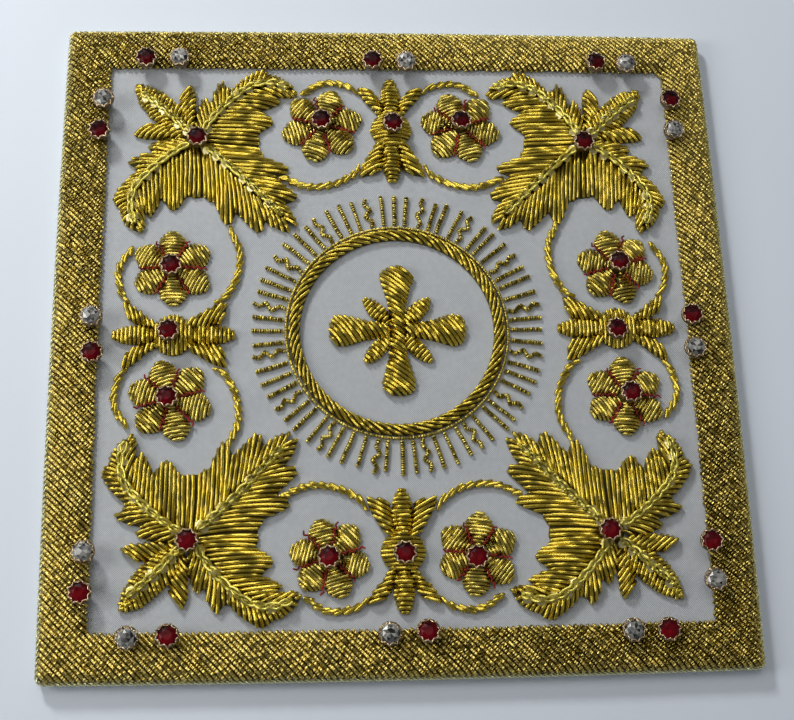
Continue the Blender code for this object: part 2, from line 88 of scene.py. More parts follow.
# The purl beside a rib. Columns: where a run leaves the rib, x and y, and where it ends, x and y.
SIDE_LOBE_FAR = (
    (-0.4, 1.6, 1.2, 5.6), (-1.6, 3.0, 0.3, 10.0), (-3.2, 5.2, -1.1, 13.5), (-4.2, 6.6, -3.0, 11.4),
    (-6.4, 9.4, -5.7, 18.7), (-7.9, 11.0, -8.2, 15.5), (-12.0, 14.8, -12.8, 20.2), (-15.0, 16.8, -16.6, 22.4),
    (-17.6, 17.4, -19.4, 20.7), (-21.0, 17.4, -22.8, 19.6), (-24.4, 16.2, -26.2, 15.6), (-26.0, 15.2, -26.9, 14.4),
)
SIDE_LOBE_NEAR = (
    (-0.9, 0.2, -16.2, -0.5), (-2.0, 2.6, -15.6, 2.8), (-4.4, 6.4, -19.9, 5.8), (-6.8, 9.6, -15.9, 9.4),
    (-10.4, 13.2, -21.9, 12.2), (-13.0, 15.2, -18.8, 14.4), (-17.8, 17.0, -23.8, 14.0), (-22.0, 16.8, -26.0, 14.2),
    (-25.4, 15.4, -26.8, 14.0),
)
INNER_LOBE_SIDE = (
    (-1.2, -0.8, -16.4, -1.8), (-4.0, -3.6, -17.6, -4.6), (-7.6, -7.0, -24.3, -7.4), (-9.6, -8.9, -20.7, -10.3),
    (-14.6, -13.8, -26.5, -15.8), (-16.4, -15.7, -23.2, -18.0), (-20.8, -20.4, -25.8, -22.2),
    (-23.4, -23.2, -26.2, -25.0), (-25.2, -25.0, -26.4, -26.0),
)
OUTER_LOBE_SIDE = (
    (2.4, 2.2, 1.4, 5.6), (5.0, 4.9, 3.9, 9.0), (8.6, 8.6, 7.2, 12.8), (12.4, 11.9, 10.8, 15.6),
    (15.2, 14.2, 14.4, 17.0), (16.6, 15.6, 17.0, 17.2), (17.4, 16.2, 17.9, 16.8),
)
# Where a run's height goes, from the rib to its end, for a full leaf 2 mm high.
HALF_ARCH = ((0.0, 1.5), (0.1, 1.9), (0.3, 2.1), (0.65, 2.0), (0.86, 1.5), (0.96, 0.85), (1.0, 0.45))
# A small leaf beside the outer rib, as an outline.
LEAFLET = (
    (3.4, 1.0), (7.0, 0.8), (12.0, 0.9), (15.6, 1.1), (17.2, 2.1), (14.8, 4.4), (12.4, 5.5), (8.6, 4.9), (5.6, 3.6),
    (4.0, 2.4),
)

PETAL_HALF_WIDTH = (
    (2.0, 1.15), (3.0, 1.5), (4.0, 2.1), (5.0, 2.7), (6.0, 3.3), (7.0, 3.7), (8.0, 3.7), (9.0, 3.2), (10.0, 2.2),
    (10.8, 1.2),
)
PETAL_HEIGHT = ((2.0, 1.2), (4.5, 1.6), (7.0, 1.75), (9.5, 1.35), (11.0, 0.6))

BUD_PETAL_HALF_WIDTH = ((3.4, 1.5), (5.2, 1.8), (8.2, 2.4), (11.5, 2.5), (14.4, 1.6), (15.8, 0.7), (16.3, 0.3))
BELLY_HALF_WIDTH = ((-4.2, 2.8), (-3.2, 4.2), (-1.6, 5.3), (0.2, 5.7), (2.0, 5.3), (3.4, 4.4), (4.4, 3.2))
BRANCH_LEAF_OUTER = (
    (1.2, 3.6), (2.2, 5.4), (2.7, 8.9), (3.9, 11.1), (6.4, 12.8), (8.9, 13.1), (9.0, 12.2), (7.2, 9.3), (5.2, 7.3),
    (3.9, 5.4), (3.0, 3.8),
)
BRANCH_LEAF_INNER = (
    (1.6, -3.2), (2.3, -5.5), (2.3, -8.0), (2.7, -11.2), (4.5, -12.9), (8.8, -13.8), (8.6, -11.8), (7.4, -9.2),
    (5.8, -6.7), (4.1, -3.8), (3.4, -3.0),
)
OUTER_VINE = ((8.6, 12.2), (11.2, 13.6), (14.4, 14.5), (17.2, 14.8), (19.9, 14.2), (22.2, 12.8), (24.4, 10.7))
INNER_VINE = (
    (8.4, -10.6), (10.1, -12.7), (12.7, -14.5), (15.5, -15.9), (19.0, -16.7), (23.0, -16.8), (26.2, -15.9),
    (30.4, -13.6),
)

# The flared arm of the cross, with its foot in the middle, and the small leaf in each of its angles.
CROSS_ARM = (
    (0.0, 1.9), (4.0, 1.9), (8.0, 2.5), (11.5, 3.5), (14.5, 4.4), (16.4, 4.0), (17.6, 2.4), (18.0, 0.0),
)
CROSS_LEAF = ((2.6, 0.4), (4.2, 1.4), (7.0, 2.1), (9.6, 1.8), (11.8, 0.8), (12.4, 0.0))

BORDER_INNER = 76.9
BORDER_OUTER = 88.0
# Height over the cloth of the border's purl, from the inner edge to the outer one.
BORDER_ARCH = ((0.0, 0.45), (0.05, 1.1), (0.2, 1.7), (0.55, 1.95), (0.85, 1.6), (0.95, 0.95), (1.0, 0.3))

# Stones of the border. Columns: side, then for its three pairs the red one's x and y and the clear one's.
BORDER_STONES = (
    ("top", (-67.2, 78.5, -57.8, 78.4), (-4.8, 78.2, 4.3, 78.2), (57.6, 78.4, 66.5, 78.1)),
    ("left", (-78.4, -67.4, -78.4, -57.8), (-78.5, -6.6, -79.0, 3.2), (-78.7, 56.3, -78.1, 65.6)),
    ("bottom", (64.3, -78.9, 55.5, -79.0), (5.1, -78.4, -4.2, -78.8), (-57.7, -78.4, -67.0, -78.4)),
    ("right", (77.9, 66.8, 78.1, 57.2), (78.0, 3.0, 78.1, -6.3), (77.1, -57.3, 77.2, -67.2)),
)

LEAF_STONES = (
    ("top_left", -52.9, 54.2), ("top_right", 52.4, 53.8), ("bottom_left", -53.2, -55.1), ("bottom_right", 51.6, -54.0),
)

BUD_STONES = (("top", 0.0, 58.8), ("left", -58.9, -1.0), ("bottom", -0.2, -59.1), ("right", 57.3, -1.1))

RING_RADIUS = 27.0
RING_HALF_WIDTH = 1.3
PEARL_RADIUS = 29.2
RAY_FOOT = 29.9
RAY_TIP = 38.6
RAY_GROUPS = 16
RAYS_IN_GROUP = 4
ZIGZAG = ((0.0, 0.0), (0.2, -0.7), (0.42, 0.95), (0.6, -0.9), (0.8, 0.6), (1.0, -0.1))
# The ring's core: distance from the ring's middle line, and height.
RING_CORE = ((-1.5, 0.3), (-0.7, 1.0), (0.0, 1.25), (0.7, 1.0), (1.5, 0.3))
RING_LEAN = 2.5

# A stone's setting and glass before they are scaled to the stones' width.
# Columns of the cup: radius and height. Columns of the glass: corners, radius, height, and turn in corners.
SETTING_WIDTH = 5.2 * MM
CLAWS = 9
RIM_POINTS = 55
CUP_PROFILE = ((0.9, 0.0), (1.75, 0.05), (2.2, 0.6), (2.5, 1.5), (2.6, 2.2), (2.3, 2.5), (2.0, 2.2), (1.9, 1.4))
GLASS_RINGS = (
    (8, 1.0, 3.05, 0.0), (8, 1.62, 2.78, 0.5), (16, 2.1, 2.25, 0.0), (16, 2.1, 2.05, 0.0), (8, 0.8, 1.2, 0.0),
)
# Heights over the cloth: the seats of the stones, rough purl laid flat, the ends of a row, ribs and sequins.
BORDER_SEAT, LEAF_SEAT, BUD_SEAT, FLOWER_SEAT = 1.9, 2.0, 2.2, 1.5
ROW_HEIGHT = 0.5
ROW_END = 0.45
RIB_HEIGHT = 2.45
SEQUIN_HEIGHT = 2.35
SEQUIN_RADIUS = 1.1
# Stitches: a chain's link, a vine's step from run to run, the run itself, and a pearl of the pearl ring.
LINK_LENGTH = 3.25
VINE_STEP = 2.45
VINE_RUN = 4.5
PEARL_LENGTH = 0.74
PETAL_FINENESS = 0.88
# The cloth: where it puckers outside the rays, and, as shares of its reach, where the band and its edge begin.
PUCKER_RADIUS, PUCKER_WIDTH = 42.0, 7.0
BAND_START, EDGE_START, EDGE_SPAN = 0.87, 0.985, 0.015
# The edge cord's plies.
CORD_STEP = 0.36
PLY_RADIUS = 0.30
PLY_OFFSET = 0.24

# Periods of the finest patterns, in metres, and the roughness of smooth and of rough purl.
COIL_WIRE = 0.12 * MM
WEAVE_PERIOD = 0.54 * MM
COTTON_TWIST = 0.5 * MM
SMOOTH = 0.24
ROUGH = 0.3
CORD_GOLD = (0.96, 0.88, 0.52)
RED_COTTON = (0.36, 0.018, 0.010)
# The stones' facet colours, from painted shade to painted light.
RED_SHADE = (0.010, 0.0006, 0.0015, 1.0)
CLEAR_SHADE = (0.02, 0.02, 0.018, 1.0)
CLEAR_LIGHT = (0.52, 0.51, 0.47, 1.0)
# The cup's dark colour is painted shade; the claws' light one is their rubbed gilt.
CUP_SHADE = (0.06, 0.03, 0.012, 1.0)
CLAW_LIGHT = (0.96, 0.74, 0.46, 1.0)
SEQUIN = ((0.62, 0.52, 0.20, 1.0), (0.90, 0.80, 0.42, 1.0))

# Places of the lights and the camera and the lights' sizes, in metres, and the camera's right and up.
KEY_PLACE, TOP_PLACE, SIDE_PLACE = (-0.33, 0.55, 0.42), (0.05, 0.30, 0.80), (-0.45, -0.02, 0.30)
KEY_SIZE, SHEEN_SIZE, TOP_SIZE, SIDE_SIZE = 0.12, 0.36, 0.52, 0.24
CAMERA_PLACE = (-0.0253, -0.1153, 0.3320)
CAMERA_RIGHT = (0.9974, -0.0281, 0.0666)
CAMERA_UP = (0.0061, 0.9505, 0.3106)


class PallSizes(bpy.types.PropertyGroup):
    """Sizes of the purl, threads and stones."""

    purl_width: FloatProperty(
        name="Purl width", description="Width of the smooth purl on leaves and flowers",
        default=1.02 * MM, min=0.5 * MM, max=2.0 * MM, unit="LENGTH",
    )
    purl_pitch: FloatProperty(
        name="Purl spacing", description="Distance between neighbouring runs of smooth purl",
        default=1.08 * MM, min=0.5 * MM, max=2.0 * MM, unit="LENGTH",
    )
    border_width: FloatProperty(
        name="Border purl width", description="Width of the rough purl of the border",
        default=1.28 * MM, min=0.5 * MM, max=2.0 * MM, unit="LENGTH",
    )
    border_pitch: FloatProperty(
        name="Border purl spacing", description="Distance between neighbouring runs of the border",
        default=1.1 * MM, min=0.6 * MM, max=3.0 * MM, unit="LENGTH",
    )
    bead_length: FloatProperty(
        name="Bead length", description="Length of one bead of the rough purl",
        default=0.68 * MM, min=0.3 * MM, max=2.0 * MM, unit="LENGTH",
    )
    ray_width: FloatProperty(
        name="Ray width", description="Width of the rough purl that makes a ray",
        default=1.35 * MM, min=0.4 * MM, max=2.0 * MM, unit="LENGTH",
    )
    stone_width: FloatProperty(
        name="Stone width", description="Width of a claw-set stone over its claws",
        default=5.9 * MM, min=3.0 * MM, max=8.0 * MM, unit="LENGTH",
    )


class PallColours(bpy.types.PropertyGroup):
    """Colours of the pall's finishes."""

    leaf_gold: FloatVectorProperty(
        name="Leaf gold", description="Gold of the leaves, vines and ring",
        default=(0.85, 0.66, 0.1), subtype="COLOR", min=0.0, max=1.0,
    )
    petal_gold: FloatVectorProperty(
        name="Petal gold", description="Lemon gold of the flowers and ribs",
        default=(0.86, 0.70, 0.16), subtype="COLOR", min=0.0, max=1.0,
    )
    border_gold: FloatVectorProperty(
        name="Border gold", description="Gold of the border and the rays",
        default=(0.88, 0.68, 0.19), subtype="COLOR", min=0.0, max=1.0,
    )
    cloth: FloatVectorProperty(
        name="Cloth", description="White of the covered panel",
        default=(0.60, 0.625, 0.65), subtype="COLOR", min=0.0, max=1.0,
    )
    red: FloatVectorProperty(
        name="Red", description="Red of the brighter facets",
        default=(0.23, 0.003, 0.008), subtype="COLOR", min=0.0, max=1.0,
    )
    floor: FloatVectorProperty(
        name="Floor", description="Pale blue-grey of the floor",
        default=(0.80, 0.86, 0.93), subtype="COLOR", min=0.0, max=1.0,
    )


class Wire:
    """A value in a material, on which plain arithmetic can be written."""

    def __init__(self, tree, socket):
        self.tree = tree
        self.socket = socket

    def maths(self, operation, *values):
        node = self.tree.nodes.new("ShaderNodeMath")
        node.operation = operation
        for slot, value in zip(node.inputs, values):
            join(self.tree, slot, value)
        return Wire(self.tree, node.outputs[0])

    def __add__(self, other):
        return self.maths("ADD", self, other)

    def __mul__(self, other):
        return self.maths("MULTIPLY", self, other)

    def sine(self):
        return self.maths("SINE", self)

    __radd__ = __add__
    __rmul__ = __mul__


def join(tree, slot, value):
    """Gives a socket its value: a link where it comes from another node, and a constant otherwise."""
    if isinstance(value, Wire):
        tree.links.new(value.socket, slot)
    else:
        slot.default_value = value


class Finish:
    """One material under construction."""

    def __init__(self, name, roughness=0.5, metallic=0.0, coat=0.0, sheen=0.0):
        self.material = bpy.data.materials.new(name)
        self.material.use_nodes = True
        self.tree = self.material.node_tree
        self.shader = self.tree.nodes["Principled BSDF"]
        self.set("Roughness", roughness)
        self.set("Metallic", metallic)
        self.set("Coat Weight", coat)
        self.set("Sheen Weight", sheen)

    def set(self, socket, value):
        join(self.tree, self.shader.inputs[socket], value)

    def node(self, kind, settings=(), values=(), output=0):
        """Adds one node: its settings first, then the values or wires of its sockets."""
        made = self.tree.nodes.new(f"ShaderNode{kind}")
        for name, value in dict(settings).items():
            setattr(made, name, value)
        for name, value in dict(values).items():
            join(self.tree, made.inputs[name], value)
        return Wire(self.tree, made.outputs[output])

    def place(self):
        """Object coordinates."""
        return self.node("TexCoord", output="Object")

    def carried(self, name):
        """A value that the mesh carries at its points or faces."""
        return self.node("Attribute", {"attribute_name": name}, output="Fac")

    def noise(self, scale, detail=2.0, rough=0.5):
        return self.node("TexNoise", values={"Vector": self.place(), "Scale": scale, "Detail": detail,
                                             "Roughness": rough})

    def blend(self, amount, first, second):
        """A colour between two colours."""
        mix = self.tree.nodes.new("ShaderNodeMix")
        mix.data_type = "RGBA"
        for slot, value in ((0, amount), (6, first), (7, second)):
            join(self.tree, mix.inputs[slot], value)
        return Wire(self.tree, mix.outputs[2])

    def bump(self, height, distance, strength=1.0):
        relief = self.node("Bump", values={"Strength": strength, "Distance": distance, "Height": height})
        self.set("Normal", relief)


def shaded(colour, factor):
    """A colour made lighter or darker, with its alpha."""
    return (*(min(1.0, channel * factor) for channel in colour), 1.0)


def purl_finish(name, colour, roughness, spread=0.35, coil=0.0045):
    """Gilt wire purl: each run or bead a little lighter or darker, rubbed in patches, and darker with painted shade
    where a run's tone is low, in grooves or under other strands.
    """
    finish = Finish(name, metallic=1.0)
    rubbed = finish.noise(900.0, 3.0)
    shade = finish.carried("tone_and_shade") * 0.8 + rubbed * 0.2
    finish.set("Base Color", finish.blend(shade, shaded(colour, 1.0 - spread), shaded(colour, 1.0 + 0.35 * spread)))
    finish.set("Roughness", roughness - 0.03 + rubbed * 0.06)
    coils = (finish.carried("along") * (2 * math.pi / COIL_WIRE)).sine()
    finish.bump(coils, coil * MM)
    return finish.material


def mottled_finish(name, dark, bright, patches, relief, roughness, swing=0.0, metallic=0.0):
    """Patches between two colours, rougher by a swing where they are bright, over a fine relief.

    Patches are a noise's scale and detail. Relief is a noise's scale, its depth in mm and its strength.
    """
    finish = Finish(name, roughness=roughness, metallic=metallic)
    mottle = finish.noise(*patches)
    finish.set("Base Color", finish.blend(mottle, dark, bright))
    if swing:
        finish.set("Roughness", roughness + mottle * swing)
    scale, depth, strength = relief
    finish.bump(finish.noise(scale), depth * MM, strength)
    return finish.material


def cloth_finish(colour):
    """Fine plain weave: warp and weft as two sets of rounded threads, each a little uneven."""
    finish = Finish("white_cloth_weave", roughness=0.85, sheen=0.2)
    split = finish.tree.nodes.new("ShaderNodeSeparateXYZ")
    join(finish.tree, split.inputs[0], finish.place())
    wander = finish.noise(180.0, 1.0) * 1.6
    thread = 2 * math.pi / WEAVE_PERIOD
    warp = (Wire(finish.tree, split.outputs[0]) * thread + wander).sine()
    weft = (Wire(finish.tree, split.outputs[1]) * thread + wander).sine()
    weave = warp * weft
    slub = finish.noise(700.0, 3.0)
    soft = finish.noise(45.0, 2.0)
    shade = weave * 0.55 + slub * 0.5 + soft * 0.25
    finish.set("Base Color", finish.blend(shade, shaded(colour, 0.7), shaded(colour, 1.16)))
    finish.set("Roughness", 0.78 + slub * 0.15)
    finish.bump(weave * 0.6 + slub * 0.8 + soft * 4.0, 0.08 * MM, 0.8)
    return finish.material


def thread_finish(name, colour):
    """Spun cotton thread."""
    finish = Finish(name, roughness=0.75)
    twist = (finish.carried("along") * (2 * math.pi / COTTON_TWIST)).sine()
    shade = twist * 0.3 + finish.carried("tone_and_shade")
    finish.set("Base Color", finish.blend(shade, shaded(colour, 0.55), shaded(colour, 1.1)))
    finish.bump(twist, 0.04 * MM, 0.8)
    return finish.material


def stone_finish(name, dark, bright, roughness, metallic, coat):
    """Foiled glass: each facet's colour is painted light, as bright as the light that comes back out of it."""
    finish = Finish(name, roughness=roughness, metallic=metallic, coat=coat)
    finish.set("Specular IOR Level", 0.12)
    finish.set("Base Color", finish.blend(finish.carried("painted_facet_light"), dark, bright))
    finish.set("Roughness", roughness + finish.noise(1800.0) * 0.05)
    return finish.material


def setting_finish():
    """Stamped copper-gilt claws: dark with painted shade in the cup under the stone, and bright where the rim is
    rubbed.
    """
    finish = Finish("gilt_claws", metallic=1.0)
    mottle = finish.noise(1200.0, 3.0)
    cup_shade_and_rim_wear = finish.carried("cup_shade_and_rim_wear") * 0.85 + mottle * 0.15
    finish.set("Base Color", finish.blend(cup_shade_and_rim_wear, CUP_SHADE, CLAW_LIGHT))
    finish.set("Roughness", 0.24 + mottle * 0.12)
    finish.bump(finish.noise(3000.0), 0.01 * MM)
    return finish.material


FINISHES = {}


def make_finishes(colours):
    gold, lemon, red, floor = colours.leaf_gold, colours.petal_gold, shaded(colours.red, 1.0), colours.floor
    # The padding's near-black gold is painted shade, for the gaps between runs and round the stones.
    padding_shade, pale = (shaded(gold, 0.05), shaded(gold, 0.15)), (shaded(floor, 0.97), shaded(floor, 1.03))
    FINISHES.update(
        leaf_gold=purl_finish("leaf_purl", gold, SMOOTH),
        petal_gold=purl_finish("petal_purl", lemon, SMOOTH),
        border_gold=purl_finish("border_purl", colours.border_gold, ROUGH, spread=0.5, coil=0.002),
        ray_gold=purl_finish("ray_purl", lemon, ROUGH, spread=0.4, coil=0.002),
        chain_gold=purl_finish("chain_purl", shaded(lemon, 1.15)[:3], 0.36),
        cord_gold=purl_finish("cord_gold", CORD_GOLD, 0.28),
        padding=mottled_finish("padding_in_painted_shade", *padding_shade, (1500.0, 2.0), (4000.0, 0.05, 1.0), 0.9),
        cloth=cloth_finish(colours.cloth),
        red_thread=thread_finish("red_cotton", RED_COTTON),
        red_glass=stone_finish("red_glass", RED_SHADE, red, 0.2, 0.0, 0.0),
        clear_glass=stone_finish("clear_glass", CLEAR_SHADE, CLEAR_LIGHT, 0.1, 0.3, 0.5),
        claws=setting_finish(),
        sequin=mottled_finish("olive_sequin", *SEQUIN, (500.0, 2.0), (900.0, 0.02, 1.0), 0.28, 0.14, 0.8),
        floor=mottled_finish("pale_floor", *pale, (14.0, 3.0), (900.0, 0.02, 0.4), 0.55),
    )


def dome(across, low, crown):
    """Heights over the cloth of a row: low at its two ends and nearly flat at its crown between them."""
    return low + (crown - low) * (1.0 - np.abs(across) ** 3.6)


def between(table, at):
    """Reads a short table of two columns at a place, or at many."""
    columns = np.array(table, float)
    return np.interp(at, columns[:, 0], columns[:, 1])


def run_length(line):
    return float(np.linalg.norm(np.diff(line, axis=0), axis=1).sum())


def along_line(line, shares):
    """The points of a polyline at some shares of its length."""
    line = np.asarray(line, float)
    steps = np.concatenate(([0.0], np.cumsum(np.linalg.norm(np.diff(line, axis=0), axis=1))))
    return np.stack([np.interp(np.asarray(shares) * steps[-1], steps, column) for column in line.T], axis=-1)


def smooth_line(points, count):
    """A smooth curve through a few points, as count points at even distances."""
    points = np.asarray(points, float)
    padded = np.vstack((2 * points[0] - points[1], points, 2 * points[-1] - points[-2]))
    pieces = []
    for before, start, end, after in zip(padded, padded[1:], padded[2:], padded[3:]):
        share = np.linspace(0.0, 1.0, 12, endpoint=False)[:, None]
        pieces.append(0.5 * (
            2 * start + (end - before) * share + (2 * before - 5 * start + 4 * end - after) * share**2
            + (3 * start - before - 3 * end + after) * share**3
        ))
    pieces.append(points[-1:])
    return along_line(np.vstack(pieces), np.linspace(0.0, 1.0, count))


def raised(flat, heights):
    """Points in the plan with heights over the cloth, in the pall's frame."""
    return np.column_stack((flat, np.broadcast_to(heights, len(flat)) + CLOTH))


def round_points(count, radius=1.0):
    """Points of a circle in the plan, with the last one on the first."""
    around = np.linspace(0.0, 2 * math.pi, count)
    return np.column_stack((np.cos(around), np.sin(around))) * radius


def sideways(line):
    """At each point of a plan line, the direction that lies square to it on its left."""
    way = np.gradient(line, axis=0)
    way /= np.linalg.norm(way, axis=1, keepdims=True)
    return np.column_stack((-way[:, 1], way[:, 0]))


def mesh_from(bm, name):
    """A new mesh with what was built in a bmesh, which is freed."""
    mesh = bpy.data.meshes.new(name)
    bm.to_mesh(mesh)
    bm.free()
    return mesh


def picked(items, kind):
    """Those of an operator's items that are of one kind."""
    return [item for item in items if isinstance(item, kind)]


def straight_tube(sides, rings):
    """A straight capped tube with its rings one unit apart, which every run of purl starts from."""
    bm = bmesh.new()
    bmesh.ops.create_circle(bm, cap_ends=True, segments=sides, radius=1.0)
    end = bm.faces[:]
    for ring in range(1, rings):
        made = bmesh.ops.extrude_face_region(bm, geom=end, use_keep_orig=ring == 1)["geom"]
        bmesh.ops.translate(bm, vec=(0, 0, 1), verts=picked(made, bmesh.types.BMVert))
        end = picked(made, bmesh.types.BMFace)
    bmesh.ops.recalc_face_normals(bm, faces=bm.faces)
    return mesh_from(bm, "straight_tube")


def repeated(mesh, count):
    """Many copies of a mesh in one mesh, all in one place."""
    holder = bpy.data.objects.new("repeated", mesh)
    bpy.context.scene.collection.objects.link(holder)
    array = holder.modifiers.new("array", "ARRAY")
    array.count = count
    array.use_relative_offset = False
    bpy.context.view_layer.update()
    graph = bpy.context.evaluated_depsgraph_get()
    made = bpy.data.meshes.new_from_object(holder.evaluated_get(graph))
    bpy.data.objects.remove(holder, do_unlink=True)
    return made


def corner_places(mesh):
    places = np.empty(len(mesh.vertices) * 3)
    mesh.vertices.foreach_get("co", places)
    return places.reshape(-1, 3)


def carry(mesh, name, values, domain="POINT"):
    """Lets a mesh carry one number for each of its points or faces."""
    mesh.attributes.new(name, "FLOAT", domain).data.foreach_set("value", np.asarray(values, np.float32).ravel())


class Purl:
    """Runs of purl, laid one by one and then made into one mesh. Lengths are in mm."""

    def __init__(self, sides, seed):
        self.sides = sides
        self.chance = np.random.default_rng(seed)
        self.runs = {}

    def keep(self, line, stops, widths, tone_and_shade=None, roll=0.0):
        """Keeps a run: its points at some shares of its length, with its radius, tone (low where shade is painted) and
        roll at each.
        """
        tone_and_shade = self.chance.uniform(0.15, 0.85) if tone_and_shade is None else tone_and_shade
        count = len(stops)
        self.runs.setdefault(count, []).append((
            along_line(line, stops), widths, np.broadcast_to(tone_and_shade, count), stops * run_length(line),
            np.broadcast_to(roll, count),
        ))

    def lay(self, line, radius, rings=9, tone_and_shade=None):
        """A smooth run with rounded ends."""
        line = np.asarray(line, float)
        cap = min(0.9 * radius / max(run_length(line), 0.1), 0.22)
        middle = np.linspace(cap, 1.0 - cap, rings - 4)
        stops = np.concatenate(([0.0, 0.3 * cap], middle, [1.0 - 0.3 * cap, 1.0]))
        widths = radius * np.concatenate(([0.35, 0.8], np.ones(rings - 4), [0.8, 0.35]))
        self.keep(line, stops, widths, tone_and_shade)

    def lay_beaded(self, line, radius, bead, groove):
        """A rough run: beads with painted shade in the groove between each two, each rolled and toned by chance."""
        line = np.asarray(line, float)
        beads = max(1, round(run_length(line) / bead))
        stops = np.repeat(np.arange(beads), 3) + np.tile((0.0, 0.3, 0.72), beads)
        # Painted shade: the groove between beads, and the run's end, get a low tone.
        tone_and_shade = np.tile((0.3, 1.0, 0.9), beads) * np.repeat(self.chance.uniform(0.45, 1.0, beads), 3)
        widths = radius * np.tile((groove, 1.0, 0.97), beads)
        roll = self.chance.uniform(0.0, 6.3) + self.chance.uniform(-0.35, 0.35, beads * 3)
        self.keep(
            line, np.append(stops, beads) / beads, np.append(widths, radius * groove * 0.7), np.append(tone_and_shade, 0.0),
            np.append(roll, roll[-1]),
        )

    def shaped(self, rings, runs):
        """The mesh, the distance along each run and the tone, with its painted shade, of all runs with one number of
        rings.
        """
        tube = straight_tube(self.sides, rings)
        pattern = corner_places(tube)
        ring = np.rint(pattern[:, 2]).astype(int)
        angle = np.arctan2(pattern[:, 1], pattern[:, 0])
        centre, widths, tone_and_shade, along, roll = (np.array(column) for column in zip(*runs))
        ahead = np.gradient(centre, axis=1)
        ahead /= np.linalg.norm(ahead, axis=2, keepdims=True)
        side = np.cross(ahead, (0.0, 0.0, 1.0))
        side /= np.maximum(np.linalg.norm(side, axis=2, keepdims=True), 1e-6)
        over = np.cross(side, ahead)
        rolled = (angle[None, :] + roll[:, ring])[..., None]
        spread = np.cos(rolled) * side[:, ring] + np.sin(rolled) * over[:, ring]
        places = centre[:, ring] + widths[:, ring, None] * spread
        mesh = repeated(tube, len(runs))
        mesh.vertices.foreach_set("co", (places * MM).ravel())
        return mesh, (along[:, ring] * MM).ravel(), tone_and_shade[:, ring].ravel()

    def piece(self, name, finish, smooth=True):
        """Makes all the runs one piece of the pall."""
        made = [self.shaped(rings, runs) for rings, runs in self.runs.items()]
        bm = bmesh.new()
        for mesh, _, _ in made:
            bm.from_mesh(mesh)
        bmesh.ops.recalc_face_normals(bm, faces=bm.faces)
        whole = mesh_from(bm, name)
        carry(whole, "along", np.concatenate([along for _, along, _ in made]))
        carry(whole, "tone_and_shade", np.concatenate([tone_and_shade for _, _, tone_and_shade in made]))
        return add_piece(name, whole, finish, smooth)


def filled(purl, padding, outline, degrees, height, place, unit):
    """Parallel rows of purl that fill an outline, at an angle to its own frame's X, over padding."""
    pitch, radius = unit
    corners = turned(outline, -degrees)
    rows = []
    for level in np.arange(corners[:, 1].min() + 0.42 * pitch, corners[:, 1].max() - 0.15 * pitch, pitch):
        crossings = [
            x0 + (level - y0) / (y1 - y0) * (x1 - x0)
            for (x0, y0), (x1, y1) in zip(corners, np.roll(corners, -1, axis=0)) if (y0 > level) != (y1 > level)
        ]
        if len(crossings) < 2 or max(crossings) - min(crossings) < 0.9:
            continue
        half = (max(crossings) - min(crossings)) / 2 + purl.chance.uniform(-0.12, 0.12)
        middle = (max(crossings) + min(crossings)) / 2 + purl.chance.uniform(-0.08, 0.08)
        across = np.linspace(-1.0, 1.0, 11)
        flat = turned(np.column_stack((middle + across * half, np.full(11, level))), degrees)
        points = raised(place(flat), dome(across, 0.42, min(height, 0.55 + 0.62 * half)))
        purl.lay(points, radius * purl.chance.uniform(0.95, 1.05))
        rows.append(points)
    if len(rows) > 1:
        padding.add(rows, 0.32)


def add_piece(name, mesh, finish, smooth=True):
    """Puts a mesh in the scene as a piece of the pall that rides with it."""
    for polygon in mesh.polygons:
        polygon.use_smooth = smooth
    piece = bpy.data.objects.new(name, mesh)
    bpy.context.scene.collection.objects.link(piece)
    mesh.materials.clear()
    mesh.materials.append(FINISHES[finish])
    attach(piece, "root")
    return piece


def joined(meshes, name):
    """One mesh out of several."""
    bm = bmesh.new()
    for mesh in meshes:
        bm.from_mesh(mesh)
    return mesh_from(bm, name)


class Padding:
    """The padding under the purl, near black with painted shade where it shows between runs: closed slabs under grids
    of points, gathered into one mesh.
    """

    def __init__(self):
        self.meshes = []

    def add(self, rows, sink):
        """A slab whose top lies a little under the rows of points."""
        rows = np.asarray(rows, float)
        along, across = rows.shape[0] - 1, rows.shape[1] - 1
        bm = bmesh.new()
        grid = bmesh.ops.create_grid(bm, x_segments=along, y_segments=across, size=0.5)
        for vert in grid["verts"]:
            place = rows[round((vert.co.x + 0.5) * along)][round((vert.co.y + 0.5) * across)]
            vert.co = Vector((place[0], place[1], max(place[2] - sink, CLOTH + 0.05))) * MM
        under = bmesh.ops.extrude_face_region(bm, geom=bm.faces[:])["geom"]
        for vert in picked(under, bmesh.types.BMVert):
            vert.co.z = (CLOTH - 0.1) * MM
        bmesh.ops.recalc_face_normals(bm, faces=bm.faces)
        self.meshes.append(mesh_from(bm, "padding"))

    def piece(self, name):
        return add_piece(name, joined(self.meshes, name), "padding")

    def hub(self, middle, reach, height):
        """A round of padding under a stone, where its painted shade stands in for the stone's shadow."""
        rows = [
            raised(round_points(17) * reach * share + middle, height * (1.0 - share**3) + 0.1)
            for share in (0.05, 0.4, 0.7, 0.9, 1.0)
        ]
        self.add(rows, 0.0)


def turned(points, degrees, shift=(0.0, 0.0), scale=(1.0, 1.0)):
    """Plan points scaled, turned about the origin and then moved."""
    angle = math.radians(degrees)
    points = np.atleast_2d(np.asarray(points, float)) * np.asarray(scale)
    turn = np.array(((math.cos(angle), math.sin(angle)), (-math.sin(angle), math.cos(angle))))
    return points @ turn + np.asarray(shift)


